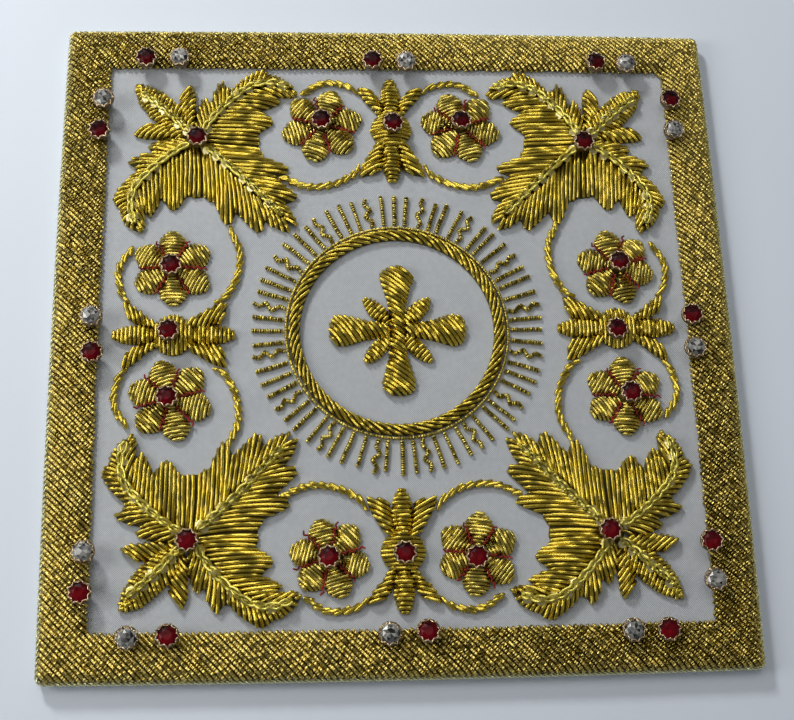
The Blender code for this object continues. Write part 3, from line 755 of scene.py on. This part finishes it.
def half_lobe(purl, padding, table, place, unit):
    """Runs laid from a leaf's rib to its edge, each beside the last, over padding.

    Between two lines of the table the reach swells quickly to a tooth and drops quickly to a notch.
    """
    pitch, radius = unit
    table = np.array(table, float)
    reaches = np.linalg.norm(table[:, 2:] - table[:, :2], axis=1)
    fine = np.linspace(0.0, len(table) - 1.0, 500)
    spots = np.stack([np.interp(fine, range(len(table)), column) for column in table.T], axis=1)
    travelled, rows = 0.85 * pitch, []
    middle = (spots[0, :2] + spots[0, 2:]) / 2
    arch = np.array(HALF_ARCH, float)
    for where, spot in zip(fine, spots):
        start, end = spot[:2], spot[2:]
        way = (end - start) / max(np.linalg.norm(end - start), 1e-6)
        moved = (start + end) / 2 - middle
        travelled += abs(way[0] * moved[1] - way[1] * moved[0])
        middle = (start + end) / 2
        if travelled < pitch:
            continue
        travelled = 0.0
        first = min(int(where), len(table) - 2)
        share = where - first
        eased = 1.0 - (1.0 - share) ** 2.0 if reaches[first + 1] > reaches[first] else share**2.0
        reach = reaches[first] + (reaches[first + 1] - reaches[first]) * eased + purl.chance.uniform(-0.16, 0.16)
        shares = np.linspace(0.0, 1.0, 11)
        bend = purl.chance.uniform(-0.10, 0.10) + 0.015 * reach
        flat = start + np.outer(shares, way * reach) + np.outer(np.sin(shares * math.pi) * bend, (-way[1], way[0]))
        full = min(1.0, 0.45 + reach / 12.0) * min(1.0, 0.72 + 0.14 * len(rows))
        rise = np.interp(shares, arch[:, 0], arch[:, 1]) * full
        points = raised(place(flat), np.maximum(rise, 0.42))
        purl.lay(points, radius * purl.chance.uniform(0.95, 1.05), 11)
        rows.append(points)
    # Painted shade: a row of padding reaches past the first run and lies lower, as a dark seam between the lobes.
    if len(rows) > 1 and reaches[0] > 10.0:
        seam = rows[0] * 1.9 - rows[1] * 0.9
        seam[:, 2] = rows[0][:, 2] - 0.55
        rows.insert(0, seam)
    padding.add(rows, 0.34)


def chain(purl, line, place, height):
    """Chain stitch: long links of two bowed strands over a third, one of them running on and the other in a tail."""
    line = smooth_line(line, 300)
    length = run_length(line)
    links = max(2, round(length / LINK_LENGTH))
    share = np.linspace(0.0, 1.0, 11)
    for link in range(links):
        for hand, first, last in ((0.0, 0.0, 1.0), (1.0, -0.12, 1.12), (-1.0, 0.12, 1.3)):
            ends = np.clip((link + np.array((first, last))) / links, 0.0, 1.0)
            middle = along_line(line, np.linspace(*ends, 11))
            side = sideways(middle)
            swell = 0.08 + 0.62 * np.sin(share * math.pi) ** 0.9 + (0.22 * share if hand < 0 else 0.0)
            flat = middle + side * (swell * hand * purl.chance.uniform(0.92, 1.08))[:, None]
            rise = height + 0.32 * np.sin(share * math.pi) - 0.12 * (hand < 0) * share - 0.5 * (hand == 0)
            # Painted shade: the strand that lies under the other two gets a dark tone.
            tone_and_shade = purl.chance.uniform(0.6, 1.0) if hand else 0.1
            purl.lay(raised(place(flat), rise), 0.4, 9, tone_and_shade=tone_and_shade)


def sequin_mesh():
    """A thin disc, a little cupped, with its rim rounded off."""
    bm = bmesh.new()
    radius = SEQUIN_RADIUS * MM
    bmesh.ops.create_cone(bm, cap_ends=True, segments=16, radius1=radius, radius2=radius, depth=0.12 * MM)
    top = [face for face in bm.faces if face.normal.z > 0.9]
    bmesh.ops.inset_region(bm, faces=top, thickness=0.25 * MM, depth=-0.05 * MM)
    return mesh_from(bm, "sequin")


def placed_copies(mesh, matrices, name):
    """Copies of a mesh under several matrices, as one mesh with outward faces."""
    bm = bmesh.new()
    whole = repeated(mesh, len(matrices))
    pattern = corner_places(mesh)
    placed = [pattern @ np.array(matrix.to_3x3()).T + np.array(matrix.translation) for matrix in matrices]
    whole.vertices.foreach_set("co", np.concatenate(placed).ravel())
    bm.from_mesh(whole)
    bmesh.ops.recalc_face_normals(bm, faces=bm.faces)
    bm.to_mesh(whole)
    bm.free()
    whole.name = name
    return whole


def bowed(flat):
    """Plan points with the sides' slight outward bow."""
    flat = np.asarray(flat, float)
    swell = SIDE_BOW / PANEL_REACH * (1.0 - (flat[:, ::-1] / PANEL_REACH) ** 2)
    return flat * (1.0 + np.maximum(swell, -0.01))


def unit_of(context):
    sizes = context.scene.pall_sizes
    return sizes.purl_pitch / MM, sizes.purl_width / MM / 2


class PALL_OT_stage(bpy.types.Operator):
    """Make the floor, the lights and the camera"""

    bl_idname = "pall.stage"
    bl_label = "Stage"

    key_power: FloatProperty(
        name="Key power", description="Power of the small softbox behind, in watts", default=3.0, min=0.0,
    )
    top_power: FloatProperty(
        name="Top power", description="Power of the large softbox overhead, in watts", default=1.05, min=0.0,
    )
    fill: FloatProperty(name="Fill", description="Strength of the even light all round", default=0.16, min=0.0)
    lens: FloatProperty(name="Lens", description="Focal length on a 36 mm sensor", default=60.3, min=10.0)

    def execute(self, context):
        make_finishes(context.scene.pall_colours)
        self.floor(context)
        key = self.light(context, "key_box", KEY_PLACE, KEY_SIZE, self.key_power)
        key.visible_glossy = False
        sheen = self.light(context, "sheen_box", KEY_PLACE, SHEEN_SIZE, self.key_power * 0.8)
        sheen.visible_diffuse = False
        self.light(context, "top_box", TOP_PLACE, TOP_SIZE, self.top_power)
        self.light(context, "side_box", SIDE_PLACE, SIDE_SIZE, self.top_power * 0.8)
        context.scene.view_settings.view_transform = "Standard"
        world = context.scene.world or bpy.data.worlds.new("studio")
        context.scene.world = world
        world.use_nodes = True
        back = world.node_tree.nodes["Background"]
        back.inputs["Color"].default_value = (0.93, 0.96, 1.0, 1.0)
        back.inputs["Strength"].default_value = self.fill
        self.camera(context)
        return {"FINISHED"}

    def floor(self, context):
        bm = bmesh.new()
        bmesh.ops.create_grid(bm, x_segments=8, y_segments=8, size=3.0)
        mesh = mesh_from(bm, "floor")
        floor = bpy.data.objects.new("floor", mesh)
        mesh.materials.append(FINISHES["floor"])
        context.scene.collection.objects.link(floor)

    def light(self, context, name, place, size, power):
        lamp = bpy.data.lights.new(name, "AREA")
        lamp.shape = "SQUARE"
        lamp.size = size
        lamp.energy = power
        holder = bpy.data.objects.new(name, lamp)
        holder.location = place
        holder.rotation_euler = (-Vector(place)).to_track_quat("-Z", "Y").to_euler()
        context.scene.collection.objects.link(holder)
        return holder

    def camera(self, context):
        lens = bpy.data.cameras.new("camera")
        lens.lens = self.lens
        lens.sensor_width = 36.0
        holder = bpy.data.objects.new("camera", lens)
        right, up = Vector(CAMERA_RIGHT), Vector(CAMERA_UP)
        back = right.cross(up).normalized()
        up = back.cross(right).normalized()
        turn = Matrix((right.normalized(), up, back)).transposed().to_4x4()
        holder.matrix_world = Matrix.Translation(CAMERA_PLACE) @ turn
        context.scene.collection.objects.link(holder)
        context.scene.camera = holder


class PALL_OT_cloth(bpy.types.Operator):
    """Cover the stiff panel in white cloth"""

    bl_idname = "pall.cloth"
    bl_label = "Cloth panel"

    cells: bpy.props.IntProperty(name="Cells", description="Cells along a side of the cloth", default=150, min=20)

    def execute(self, context):
        bm = bmesh.new()
        grid = bmesh.ops.create_grid(bm, x_segments=self.cells, y_segments=self.cells, size=1.0)
        chance = np.random.default_rng(4)
        waves = chance.uniform((0.03, 0.03, 0.0), (0.09, 0.09, 6.0), (6, 3))
        for vert in grid["verts"]:
            flat = bowed(np.array([vert.co[:2]]) * PANEL_REACH)[0]
            out = max(abs(vert.co.x), abs(vert.co.y))
            ripple = np.sin(flat @ waves[:, :2].T + waves[:, 2]).mean()
            spread = math.hypot(*flat)
            around = math.atan2(flat[1], flat[0])
            pucker = 0.10 * math.cos(around * RAY_GROUPS) * math.exp(-((spread - PUCKER_RADIUS) / PUCKER_WIDTH) ** 2)
            loose = 1.0 if out < BAND_START else 0.0
            height = CLOTH + (0.10 * ripple + pucker) * loose - 0.02
            edge = max(0.0, (out - EDGE_START) / EDGE_SPAN)
            vert.co = Vector((flat[0], flat[1], height - 0.35 * edge**2)) * MM
        under = bmesh.ops.extrude_face_region(bm, geom=bm.faces[:])["geom"]
        lower = picked(under, bmesh.types.BMFace)
        for vert in picked(under, bmesh.types.BMVert):
            vert.co.z = 0.0
        bmesh.ops.dissolve_faces(bm, faces=lower)
        bmesh.ops.recalc_face_normals(bm, faces=bm.faces)
        mesh = mesh_from(bm, "cloth_panel")
        panel = add_piece("cloth_panel", mesh, "cloth")
        mesh.set_sharp_from_angle(angle=math.radians(50))
        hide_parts("panel")
        return {"FINISHED"}


class PALL_OT_edge_cord(bpy.types.Operator):
    """Sew the thin two-ply cord round the edge"""

    bl_idname = "pall.edge_cord"
    bl_label = "Edge cord"

    twist: FloatProperty(
        name="Twist", description="Length of one full turn of the plies", default=2.7 * MM, unit="LENGTH",
    )

    def execute(self, context):
        corner = CORD_REACH - CORNER_ROUND
        outline = []
        for quarter in range(4):
            for step in range(7):
                angle = math.radians(90 * quarter + 15 * step)
                middle = turned((corner, corner), 90 * quarter)[0]
                outline.append(middle + CORNER_ROUND * np.array((math.cos(angle), math.sin(angle))))
            start, end = outline[-1], turned((CORD_REACH, corner), 90 * (quarter + 1))[0]
            outline += [start + (end - start) * share for share in np.linspace(0.04, 0.96, 24)]
        line = bowed(np.array(outline + outline[:1]))
        length = run_length(line)
        count = int(length / CORD_STEP)
        centre = along_line(line, np.linspace(0.0, 1.0, count))
        side = sideways(centre)
        turns = round(length / (self.twist / MM))
        purl = Purl(5, 11)
        for ply in range(2):
            phase = np.linspace(0.0, 2 * math.pi * turns, count) + math.pi * ply
            flat = centre + side * (PLY_OFFSET * np.cos(phase))[:, None]
            rise = CLOTH - 0.3 + PLY_OFFSET * np.sin(phase)
            stops, widths = np.linspace(0.0, 1.0, count), np.full(count, PLY_RADIUS)
            purl.keep(np.column_stack((flat, rise)), stops, widths, 0.6 + 0.3 * ply)
        cord = purl.piece("edge_cord_plies", "cord_gold")
        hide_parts("edge_cord")
        return {"FINISHED"}


class PALL_OT_border(bpy.types.Operator):
    """Lay the border's twisted purl on the slant, all round"""

    bl_idname = "pall.border"
    bl_label = "Border"

    def execute(self, context):
        sizes = context.scene.pall_sizes
        pitch, radius, bead = sizes.border_pitch / MM, sizes.border_width / MM / 2, sizes.bead_length / MM
        sides = {name: Purl(4, 20 + number) for number, (name, *_) in enumerate(BORDER_STONES)}
        outer, inner = BORDER_OUTER * math.sqrt(2), BORDER_INNER * math.sqrt(2)
        chance = np.random.default_rng(7)
        for offset in np.arange(-outer + 1.5, outer - 1.0, pitch):
            reach, opening = outer - abs(offset), inner - abs(offset)
            spans = ((-reach, -opening), (opening, reach)) if opening > 0.8 else ((-reach, reach),)
            for start, end in spans:
                if opening > 0.8 and end < 0:
                    end += chance.uniform(-0.3, 0.3)
                elif opening > 0.8:
                    start += chance.uniform(-0.3, 0.3)
                stops = np.linspace(start, end, max(12, int((end - start) / 0.4)))
                flat = np.column_stack((offset + stops, offset - stops)) / math.sqrt(2)
                out = np.abs(flat).max(axis=1)
                rise = between(BORDER_ARCH, (out - BORDER_INNER) / (BORDER_OUTER - BORDER_INNER))
                rise = np.maximum(rise, 0.25) + chance.uniform(-0.06, 0.06)
                middle = flat[len(flat) // 3]
                if abs(middle[0]) > abs(middle[1]):
                    side = "right" if middle[0] > 0 else "left"
                else:
                    side = "top" if middle[1] > 0 else "bottom"
                width = radius * chance.uniform(0.93, 1.04)
                sides[side].lay_beaded(raised(bowed(flat), rise), width, bead, 0.76)
        for name, purl in sides.items():
            piece = purl.piece(f"border_{name}_purl", "border_gold")
            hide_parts(f"border_{name}")
        self.under(context)
        return {"FINISHED"}

    def under(self, context):
        """The padded band under the purl."""
        padding = Padding()
        for side in range(4):
            rows = []
            for along in np.linspace(-1.0, 1.0, 40):
                row = []
                for share in np.linspace(0.0, 1.0, 9):
                    out = BORDER_INNER + 0.4 + (BORDER_OUTER - BORDER_INNER - 0.6) * share
                    flat = turned((along * out, out), 90 * side)
                    row.append(raised(bowed(flat), between(BORDER_ARCH, share))[0])
                rows.append(row)
            padding.add(rows, 0.35)
        piece = padding.piece("border_padding")


class PALL_OT_leaves(bpy.types.Operator):
    """Lay the four corner leaves with their ribs and sequins"""

    bl_idname = "pall.leaves"
    bl_label = "Corner leaves"

    def execute(self, context):
        unit = unit_of(context)
        padding = Padding()
        chains, discs = Purl(5, 30), []
        for number, (name, x, y, way_x, way_y, turn, size) in enumerate(LEAVES):
            purl = Purl(7, 40 + number)

            def place(flat, x=x, y=y, way_x=way_x, way_y=way_y, turn=turn, size=size):
                return turned(flat, turn, (x, y), (way_x * size, way_y * size))

            def mirrored(flat, place=place):
                return place(np.asarray(flat, float)[:, ::-1])

            for put in (place, mirrored):
                for lobe in (SIDE_LOBE_FAR, SIDE_LOBE_NEAR, INNER_LOBE_SIDE, OUTER_LOBE_SIDE):
                    half_lobe(purl, padding, lobe, put, unit)
                filled(purl, padding, LEAFLET, -37.0, 1.8, put, unit)
                self.rib(chains, discs, SIDE_RIB, put)
            self.rib(chains, discs, INNER_RIB, place)
            self.rib(chains, discs, OUTER_RIB, place)
            padding.hub((x, y), 3.4, 1.5)
            piece = purl.piece(f"leaf_{name}_purl", "leaf_gold")
            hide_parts(f"leaf_{name}")
        padding.piece("leaf_padding")
        chains.piece("leaf_rib_chains", "chain_gold")
        sequins = add_piece("leaf_sequins", placed_copies(sequin_mesh(), discs, "leaf_sequins"), "sequin", False)
        return {"FINISHED"}

    def rib(self, chains, discs, line, place):
        """A rib's chain, with sequins lying against it, most of them on its lower side."""
        chain(chains, line, place, RIB_HEIGHT)
        smooth = smooth_line(line, 120)
        count = round(run_length(smooth) / LINK_LENGTH)
        for number in range(count):
            spots = along_line(smooth, np.array((number + 0.45, number + 0.55)) / count)
            way = (spots[1] - spots[0]) / np.linalg.norm(spots[1] - spots[0])
            for hand in (1, -1):
                side = np.array((-way[1], way[0])) * hand
                outwards = place((spots[0] + side)[None, :])[0] - place(spots[0][None, :])[0]
                if chains.chance.uniform() > (0.85 if outwards[1] < 0 else 0.4):
                    continue
                spot = place((spots[0] + side * chains.chance.uniform(0.75, 1.0))[None, :])[0]
                tilt = math.radians(chains.chance.uniform(24, 42))
                lean = Matrix.Rotation(tilt, 4, Vector((-outwards[1], outwards[0], 0)))
                height = CLOTH + SEQUIN_HEIGHT + chains.chance.uniform(-0.05, 0.1)
                discs.append(Matrix.Translation(Vector((spot[0], spot[1], height)) * MM) @ lean)


class PALL_OT_flowers(bpy.types.Operator):
    """Lay the eight six-petalled flowers and their red stitches"""

    bl_idname = "pall.flowers"
    bl_label = "Flowers"

    petals: bpy.props.IntProperty(name="Petals", description="Petals of a flower", default=6, min=3)

    def execute(self, context):
        unit = tuple(PETAL_FINENESS * value for value in unit_of(context))
        padding, stitches = Padding(), Purl(4, 60)
        for number, (name, x, y, first, size, *_) in enumerate(FLOWERS):
            purl = Purl(7, 70 + number)
            for petal in range(self.petals):
                turn = first + 360 / self.petals * petal + purl.chance.uniform(-2, 2)
                self.petal(purl, padding, turn, (x, y), size, unit)
                self.stitch(stitches, turn + 180 / self.petals, (x, y))
            padding.hub((x, y), 3.2, 1.5)
            piece = purl.piece(f"flower_{name}_purl", "petal_gold")
            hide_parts(f"flower_{name}")
        padding.piece("flower_padding")
        stitches.piece("flower_stitches", "red_thread")
        return {"FINISHED"}

    def petal(self, purl, padding, turn, middle, size, unit):
        """Straight rows across one petal, from the stone to its tip."""
        pitch, radius = unit
        reach = size * purl.chance.uniform(0.97, 1.02)
        skew = purl.chance.uniform(-0.07, 0.07)
        across = np.linspace(-1.0, 1.0, 11)
        rows = []
        for out in np.arange(2.1 + purl.chance.uniform(0.0, 0.3), 11.0, pitch * 0.98):
            half = float(between(PETAL_HALF_WIDTH, out)) * size
            along = out * reach + across * half * skew
            flat = np.column_stack((along, across * half + purl.chance.uniform(-0.06, 0.06)))
            rise = dome(across, ROW_END, float(between(PETAL_HEIGHT, out)) + 0.15)
            points = raised(turned(flat, turn, middle), rise)
            purl.lay(points, radius * purl.chance.uniform(0.95, 1.04))
            rows.append(points)
        padding.add(rows, 0.3)

    def stitch(self, stitches, turn, middle):
        """A red zigzag along the seam of two petals."""
        count = 9
        outs = np.linspace(2.4, 8.8 + stitches.chance.uniform(-0.5, 0.6), count)
        swing = [(0.42 if step % 2 else -0.42) * stitches.chance.uniform(0.6, 1.2) for step in range(count)]
        for step in range(count - 1):
            ends = np.array(((outs[step], swing[step]), (outs[step + 1] + 0.1, swing[step + 1])))
            flat = along_line(ends, np.linspace(0, 1, 5))
            rise = 1.45 + 0.3 * np.sin(np.linspace(0, math.pi, 5)) - 0.13 * max(0.0, outs[step] - 5.5) ** 1.2
            stitches.lay(raised(turned(flat, turn, middle), rise), 0.23, 7)


class PALL_OT_sprays(bpy.types.Operator):
    """Lay the four side sprays: bud, branch leaves and vines"""

    bl_idname = "pall.sprays"
    bl_label = "Side sprays"

    def execute(self, context):
        unit = unit_of(context)
        padding = Padding()
        for number, (name, shift, turn) in enumerate(SPRAYS):
            purl = Purl(7, 90 + number)

            def place(flat, shift=shift, turn=turn):
                return turned(np.asarray(flat, float) + (shift, SPRAY_OUT), turn)

            for hand in (1, -1):
                def put(flat, hand=hand, place=place):
                    return place(np.asarray(flat, float) * (hand, 1.0))

                self.rows(purl, padding, BUD_PETAL_HALF_WIDTH, hand, 2.0, place, unit)
                filled(purl, padding, BRANCH_LEAF_OUTER, 17.0, 1.7, put, unit)
                filled(purl, padding, BRANCH_LEAF_INNER, -30.0, 1.7, put, unit)
                self.vine(purl, OUTER_VINE, hand, 1, place, unit[1])
                self.vine(purl, INNER_VINE, hand, -1, place, unit[1])
            self.rows(purl, padding, BELLY_HALF_WIDTH, 1, 2.2, place, unit)
            piece = purl.piece(f"spray_{name}_purl", "leaf_gold")
            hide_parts(f"spray_{name}")
        padding.piece("spray_padding")
        return {"FINISHED"}

    def rows(self, purl, padding, table, hand, height, place, unit):
        """Rows straight across the bud."""
        pitch, radius = unit
        across = np.linspace(-1.0, 1.0, 11)
        rows = []
        for out in np.arange(table[0][0], table[-1][0] + 0.05, pitch):
            half = float(between(table, out)) + purl.chance.uniform(-0.1, 0.1)
            flat = np.column_stack((across * half, np.full(11, out * hand) + purl.chance.uniform(-0.05, 0.05)))
            points = raised(place(flat), dome(across, ROW_END, min(height, 0.55 + 0.62 * half)))
            purl.lay(points, radius)
            rows.append(points)
        padding.add(rows, 0.3)

    def vine(self, purl, line, hand, way, place, radius):
        """Stem stitch: short runs two abreast, each lying a little across the vine."""
        line = smooth_line(line, 160)
        length = run_length(line)
        count = round(length / VINE_STEP)
        share = np.linspace(0.0, 1.0, 9)
        for number in range(count):
            start = number / count
            spots = along_line(line, start + share * (min(1.0, start + VINE_RUN / length) - start))
            side = sideways(spots) * way
            drift = (share * 2 - 1) * 0.75 + purl.chance.uniform(-0.08, 0.08)
            flat = (spots + side * drift[:, None]) * (hand, 1.0)
            rise = 0.5 + 0.35 * np.sin(0.15 + share * 2.9) ** 0.7
            purl.lay(raised(place(flat), rise), radius * purl.chance.uniform(1.02, 1.14))


class PALL_OT_roundel(bpy.types.Operator):
    """Lay the ring, its pearl edge, the rays and the cross"""

    bl_idname = "pall.roundel"
    bl_label = "Roundel"

    ring_runs: bpy.props.IntProperty(name="Ring runs", description="Runs of purl round the ring", default=67, min=20)

    def execute(self, context):
        unit = unit_of(context)
        self.ring(unit)
        self.rays(context.scene.pall_sizes)
        self.cross(unit)
        return {"FINISHED"}

    def ring(self, unit):
        """A rope of long runs wound over a padded core."""
        purl, padding = Purl(8, 100), Padding()
        circles = [raised(round_points(121, RING_RADIUS + across), height) for across, height in RING_CORE]
        padding.add(list(zip(*circles)), 0.0)
        phase = np.radians(np.linspace(-83.0, 83.0, 13))
        for number in range(self.ring_runs):
            middle = -2 * math.pi * (number + purl.chance.uniform(-0.08, 0.08)) / self.ring_runs
            angle = middle - RING_LEAN * phase / RING_RADIUS
            out = RING_RADIUS - RING_HALF_WIDTH * np.sin(phase)
            flat = np.column_stack((out * np.cos(angle), out * np.sin(angle)))
            purl.lay(raised(flat, 0.5 + 1.2 * np.cos(phase)), unit[1] * 0.8, 13)
        ring = purl.piece("ring_purl", "leaf_gold")
        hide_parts("ring")
        padding.piece("ring_core")

    def rays(self, sizes):
        """The pearl ring, and the bent and straight rays of rough purl outside it."""
        purl = Purl(5, 101)
        purl.lay_beaded(raised(round_points(361, PEARL_RADIUS), ROW_HEIGHT), 0.5, PEARL_LENGTH, 0.35)
        rays = RAY_GROUPS * RAYS_IN_GROUP
        for ray in range(rays):
            direction = 360 * (ray / rays + 0.5 / RAY_GROUPS) + purl.chance.uniform(-0.8, 0.8)
            tip = RAY_TIP + purl.chance.uniform(-0.5, 0.5)
            bends = np.array(ZIGZAG)
            if ray % RAYS_IN_GROUP:
                bends[:, 1] = purl.chance.uniform(-0.08, 0.08, len(bends))
            else:
                bends[:, 1] *= purl.chance.uniform(0.8, 1.15, len(bends))
            flat = np.column_stack((RAY_FOOT + (tip - RAY_FOOT) * bends[:, 0], bends[:, 1]))
            width = sizes.ray_width / MM / 2 * purl.chance.uniform(0.9, 1.05)
            bead = sizes.bead_length / MM * 0.92
            purl.lay_beaded(raised(turned(flat, direction), ROW_HEIGHT), width, bead, 0.62)
        burst = purl.piece("sunburst_purl", "ray_gold")
        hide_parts("sunburst")

    def cross(self, unit):
        """A plain cross with flared arms, and a small leaf in each of its angles."""
        purl, padding = Purl(8, 102), Padding()

        def put(flat):
            return np.asarray(flat, float)

        for quarter in range(4):
            leaf = np.array(CROSS_LEAF)
            outline = np.vstack((leaf, leaf[::-1] * (1.0, -1.0)))
            filled(purl, padding, turned(outline, 45 + 90 * quarter), 135.0 + 90 * quarter, 1.5, put, unit)
        arm = np.array(CROSS_ARM)
        half = np.vstack((arm, arm[::-1] * (1.0, -1.0)))
        upright = np.vstack((turned(half, 90)[1:-1], turned(half, 270)[1:-1]))
        filled(purl, padding, upright, -38.0, 2.0, put, unit)
        for quarter in (0, 2):
            cut = half.copy()
            cut[[0, -1], 0] = 2.2
            filled(purl, padding, turned(cut, 90 * quarter), -52.0, 2.0, put, unit)
        piece = purl.piece("cross_purl", "leaf_gold")
        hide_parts("cross")
        padding.piece("cross_padding")


def setting_mesh():
    """A gilt cup, and the scalloped edge of its claws as a rim bent in over the stone.

    Returns the mesh, and for each of its points a value, low for the cup's painted shade and high for the rubbed rim.
    """
    bm = bmesh.new()
    verts = [bm.verts.new((radius * MM, 0.0, height * MM)) for radius, height in CUP_PROFILE]
    edges = [bm.edges.new(pair) for pair in zip(verts, verts[1:])]
    bmesh.ops.spin(
        bm, geom=verts + edges, cent=(0, 0, 0), axis=(0, 0, 1), angle=2 * math.pi, steps=18, use_merge=True
    )
    bmesh.ops.remove_doubles(bm, verts=bm.verts, dist=0.0001 * MM)
    bmesh.ops.holes_fill(bm, edges=[edge for edge in bm.edges if edge.is_boundary])
    bmesh.ops.recalc_face_normals(bm, faces=bm.faces)
    cup = mesh_from(bm, "cup")
    around = np.linspace(0.0, 2 * math.pi, RIM_POINTS)
    fold = np.abs(np.cos(CLAWS / 2 * around)) ** 0.8
    out, height = 2.62 - 0.62 * fold, 2.45 + 0.22 * fold
    rim = Purl(4, 1)
    line = np.column_stack((out * np.cos(around), out * np.sin(around), height))
    rim.keep(line, np.linspace(0.0, 1.0, RIM_POINTS), np.full(RIM_POINTS, 0.17))
    edge = rim.shaped(RIM_POINTS, rim.runs[RIM_POINTS])[0]
    # Painted shade: the cup's points stay near the dark colour, and the rim's take the rubbed bright one.
    cup_shade_and_rim_wear = np.concatenate((np.full(len(cup.vertices), 0.12), np.full(len(edge.vertices), 1.0)))
    return joined((cup, edge), "setting"), cup_shade_and_rim_wear


def glass_mesh():
    """A round stone cut in facets: the table, the crown in two rows, and the girdle."""
    bm = bmesh.new()
    for count, radius, height, shift in GLASS_RINGS:
        for step in range(count):
            angle = 2 * math.pi * (step + shift) / count
            bm.verts.new((radius * math.cos(angle) * MM, radius * math.sin(angle) * MM, height * MM))
    bmesh.ops.convex_hull(bm, input=bm.verts)
    bmesh.ops.dissolve_limit(bm, angle_limit=math.radians(2), verts=bm.verts, edges=bm.edges)
    table = [face for face in bm.faces if face.normal.z > 0.99]
    bmesh.ops.poke(bm, faces=table, offset=0.0)
    bmesh.ops.recalc_face_normals(bm, faces=bm.faces)
    return mesh_from(bm, "glass")


class PALL_OT_stones(bpy.types.Operator):
    """Set the red and clear stones in their claws"""

    bl_idname = "pall.stones"
    bl_label = "Stones"

    def execute(self, context):
        chance = np.random.default_rng(5)
        size = context.scene.pall_sizes.stone_width / SETTING_WIDTH
        seats, nodes = {"red": [], "clear": []}, {"red": [], "clear": []}

        def seat(colour, x, y, height, node=None):
            tilt = Matrix.Rotation(math.radians(chance.uniform(-5, 5)), 4, "X")
            tilt = tilt @ Matrix.Rotation(math.radians(chance.uniform(-5, 5)), 4, "Y")
            spin = Matrix.Rotation(chance.uniform(0, math.pi), 4, "Z")
            place = Matrix.Translation(Vector((x, y, CLOTH + height)) * MM)
            seats[colour].append(place @ tilt @ spin @ Matrix.Scale(size, 4))
            if node:
                nodes[colour].append(node)

        for name, *pairs in BORDER_STONES:
            for pair, (red_x, red_y, clear_x, clear_y) in enumerate(pairs):
                seat("red", red_x, red_y, BORDER_SEAT, f"stone_{name}_{pair + 1}_red")
                seat("clear", clear_x, clear_y, BORDER_SEAT, f"stone_{name}_{pair + 1}_clear")
        for name, x, y in LEAF_STONES:
            seat("red", x, y, LEAF_SEAT, f"stone_leaf_{name}")
        for name, x, y in BUD_STONES:
            seat("red", x, y, BUD_SEAT, f"stone_bud_{name}")
        for *_, x, y in FLOWERS:
            seat("red", x, y, FLOWER_SEAT)
        setting, cup_shade_and_rim_wear = setting_mesh()
        every = seats["red"] + seats["clear"]
        settings = placed_copies(setting, every, "stone_settings")
        carry(settings, "cup_shade_and_rim_wear", np.tile(cup_shade_and_rim_wear, len(every)))
        add_piece("stone_settings", settings, "claws")
        for colour, matrices in seats.items():
            swell = Matrix.Scale(1.1 if colour == "clear" else 1.05, 4)
            mesh = placed_copies(glass_mesh(), [matrix @ swell for matrix in matrices], f"{colour}_stones")
            carry(mesh, "painted_facet_light", self.painted_facet_lights(mesh, matrices, colour, chance), "FACE")
            stones = add_piece(f"{colour}_stones", mesh, f"{colour}_glass", smooth=False)
            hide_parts(*nodes[colour])
        return {"FINISHED"}

    def painted_facet_lights(self, mesh, matrices, colour, chance):
        """How bright each facet is painted: a red stone's near side as lit through it from behind, and stones lower on
        the pall brighter; a clear stone's facets by chance, as painted glints and shade.
        """
        painted_facet_lights = []
        for face in mesh.polygons:
            middle = matrices[face.index * len(matrices) // len(mesh.polygons)].translation
            off = (face.center - middle) / MM
            # Painted light: a red stone's near, lower facets are brighter, and so are stones lower on the pall.
            painted_light = 0.30 - 0.22 * off.y + 0.06 * off.x - 3.0 * middle.y
            if colour == "clear":
                # Painted glints and shade: each facet of a clear stone gets its brightness by chance.
                painted_light = 0.42 + chance.uniform(-0.5, 0.6)
            painted_facet_lights.append(min(1.0, max(0.0, painted_light + chance.uniform(-0.18, 0.22))))
        return painted_facet_lights


class PALL_PT_tools(bpy.types.Panel):
    """Lists the steps that dress the pall"""

    bl_label = "Chalice pall"
    bl_idname = "PALL_PT_tools"
    bl_space_type = "VIEW_3D"
    bl_region_type = "UI"
    bl_category = "Pall"

    def draw(self, context):
        for group in (context.scene.pall_sizes, context.scene.pall_colours):
            box = self.layout.box()
            for name in group.__annotations__:
                box.prop(group, name)
        for step in STEPS:
            self.layout.operator(step.bl_idname)


STEPS = (
    PALL_OT_stage, PALL_OT_cloth, PALL_OT_edge_cord, PALL_OT_border, PALL_OT_leaves,
    PALL_OT_flowers, PALL_OT_sprays, PALL_OT_roundel, PALL_OT_stones,
)
CLASSES = (PallSizes, PallColours, *STEPS, PALL_PT_tools)


def register():
    for each in CLASSES:
        bpy.utils.register_class(each)
    bpy.types.Scene.pall_sizes = PointerProperty(type=PallSizes)
    bpy.types.Scene.pall_colours = PointerProperty(type=PallColours)


def unregister():
    del bpy.types.Scene.pall_colours
    del bpy.types.Scene.pall_sizes
    for each in reversed(CLASSES):
        bpy.utils.unregister_class(each)


def main():
    register()
    bpy.ops.pall.stage()
    bpy.ops.pall.cloth()
    bpy.ops.pall.edge_cord()
    bpy.ops.pall.border()
    bpy.ops.pall.leaves()
    bpy.ops.pall.flowers()
    bpy.ops.pall.sprays()
    bpy.ops.pall.roundel()
    bpy.ops.pall.stones()


if __name__ == "__main__":
    main()
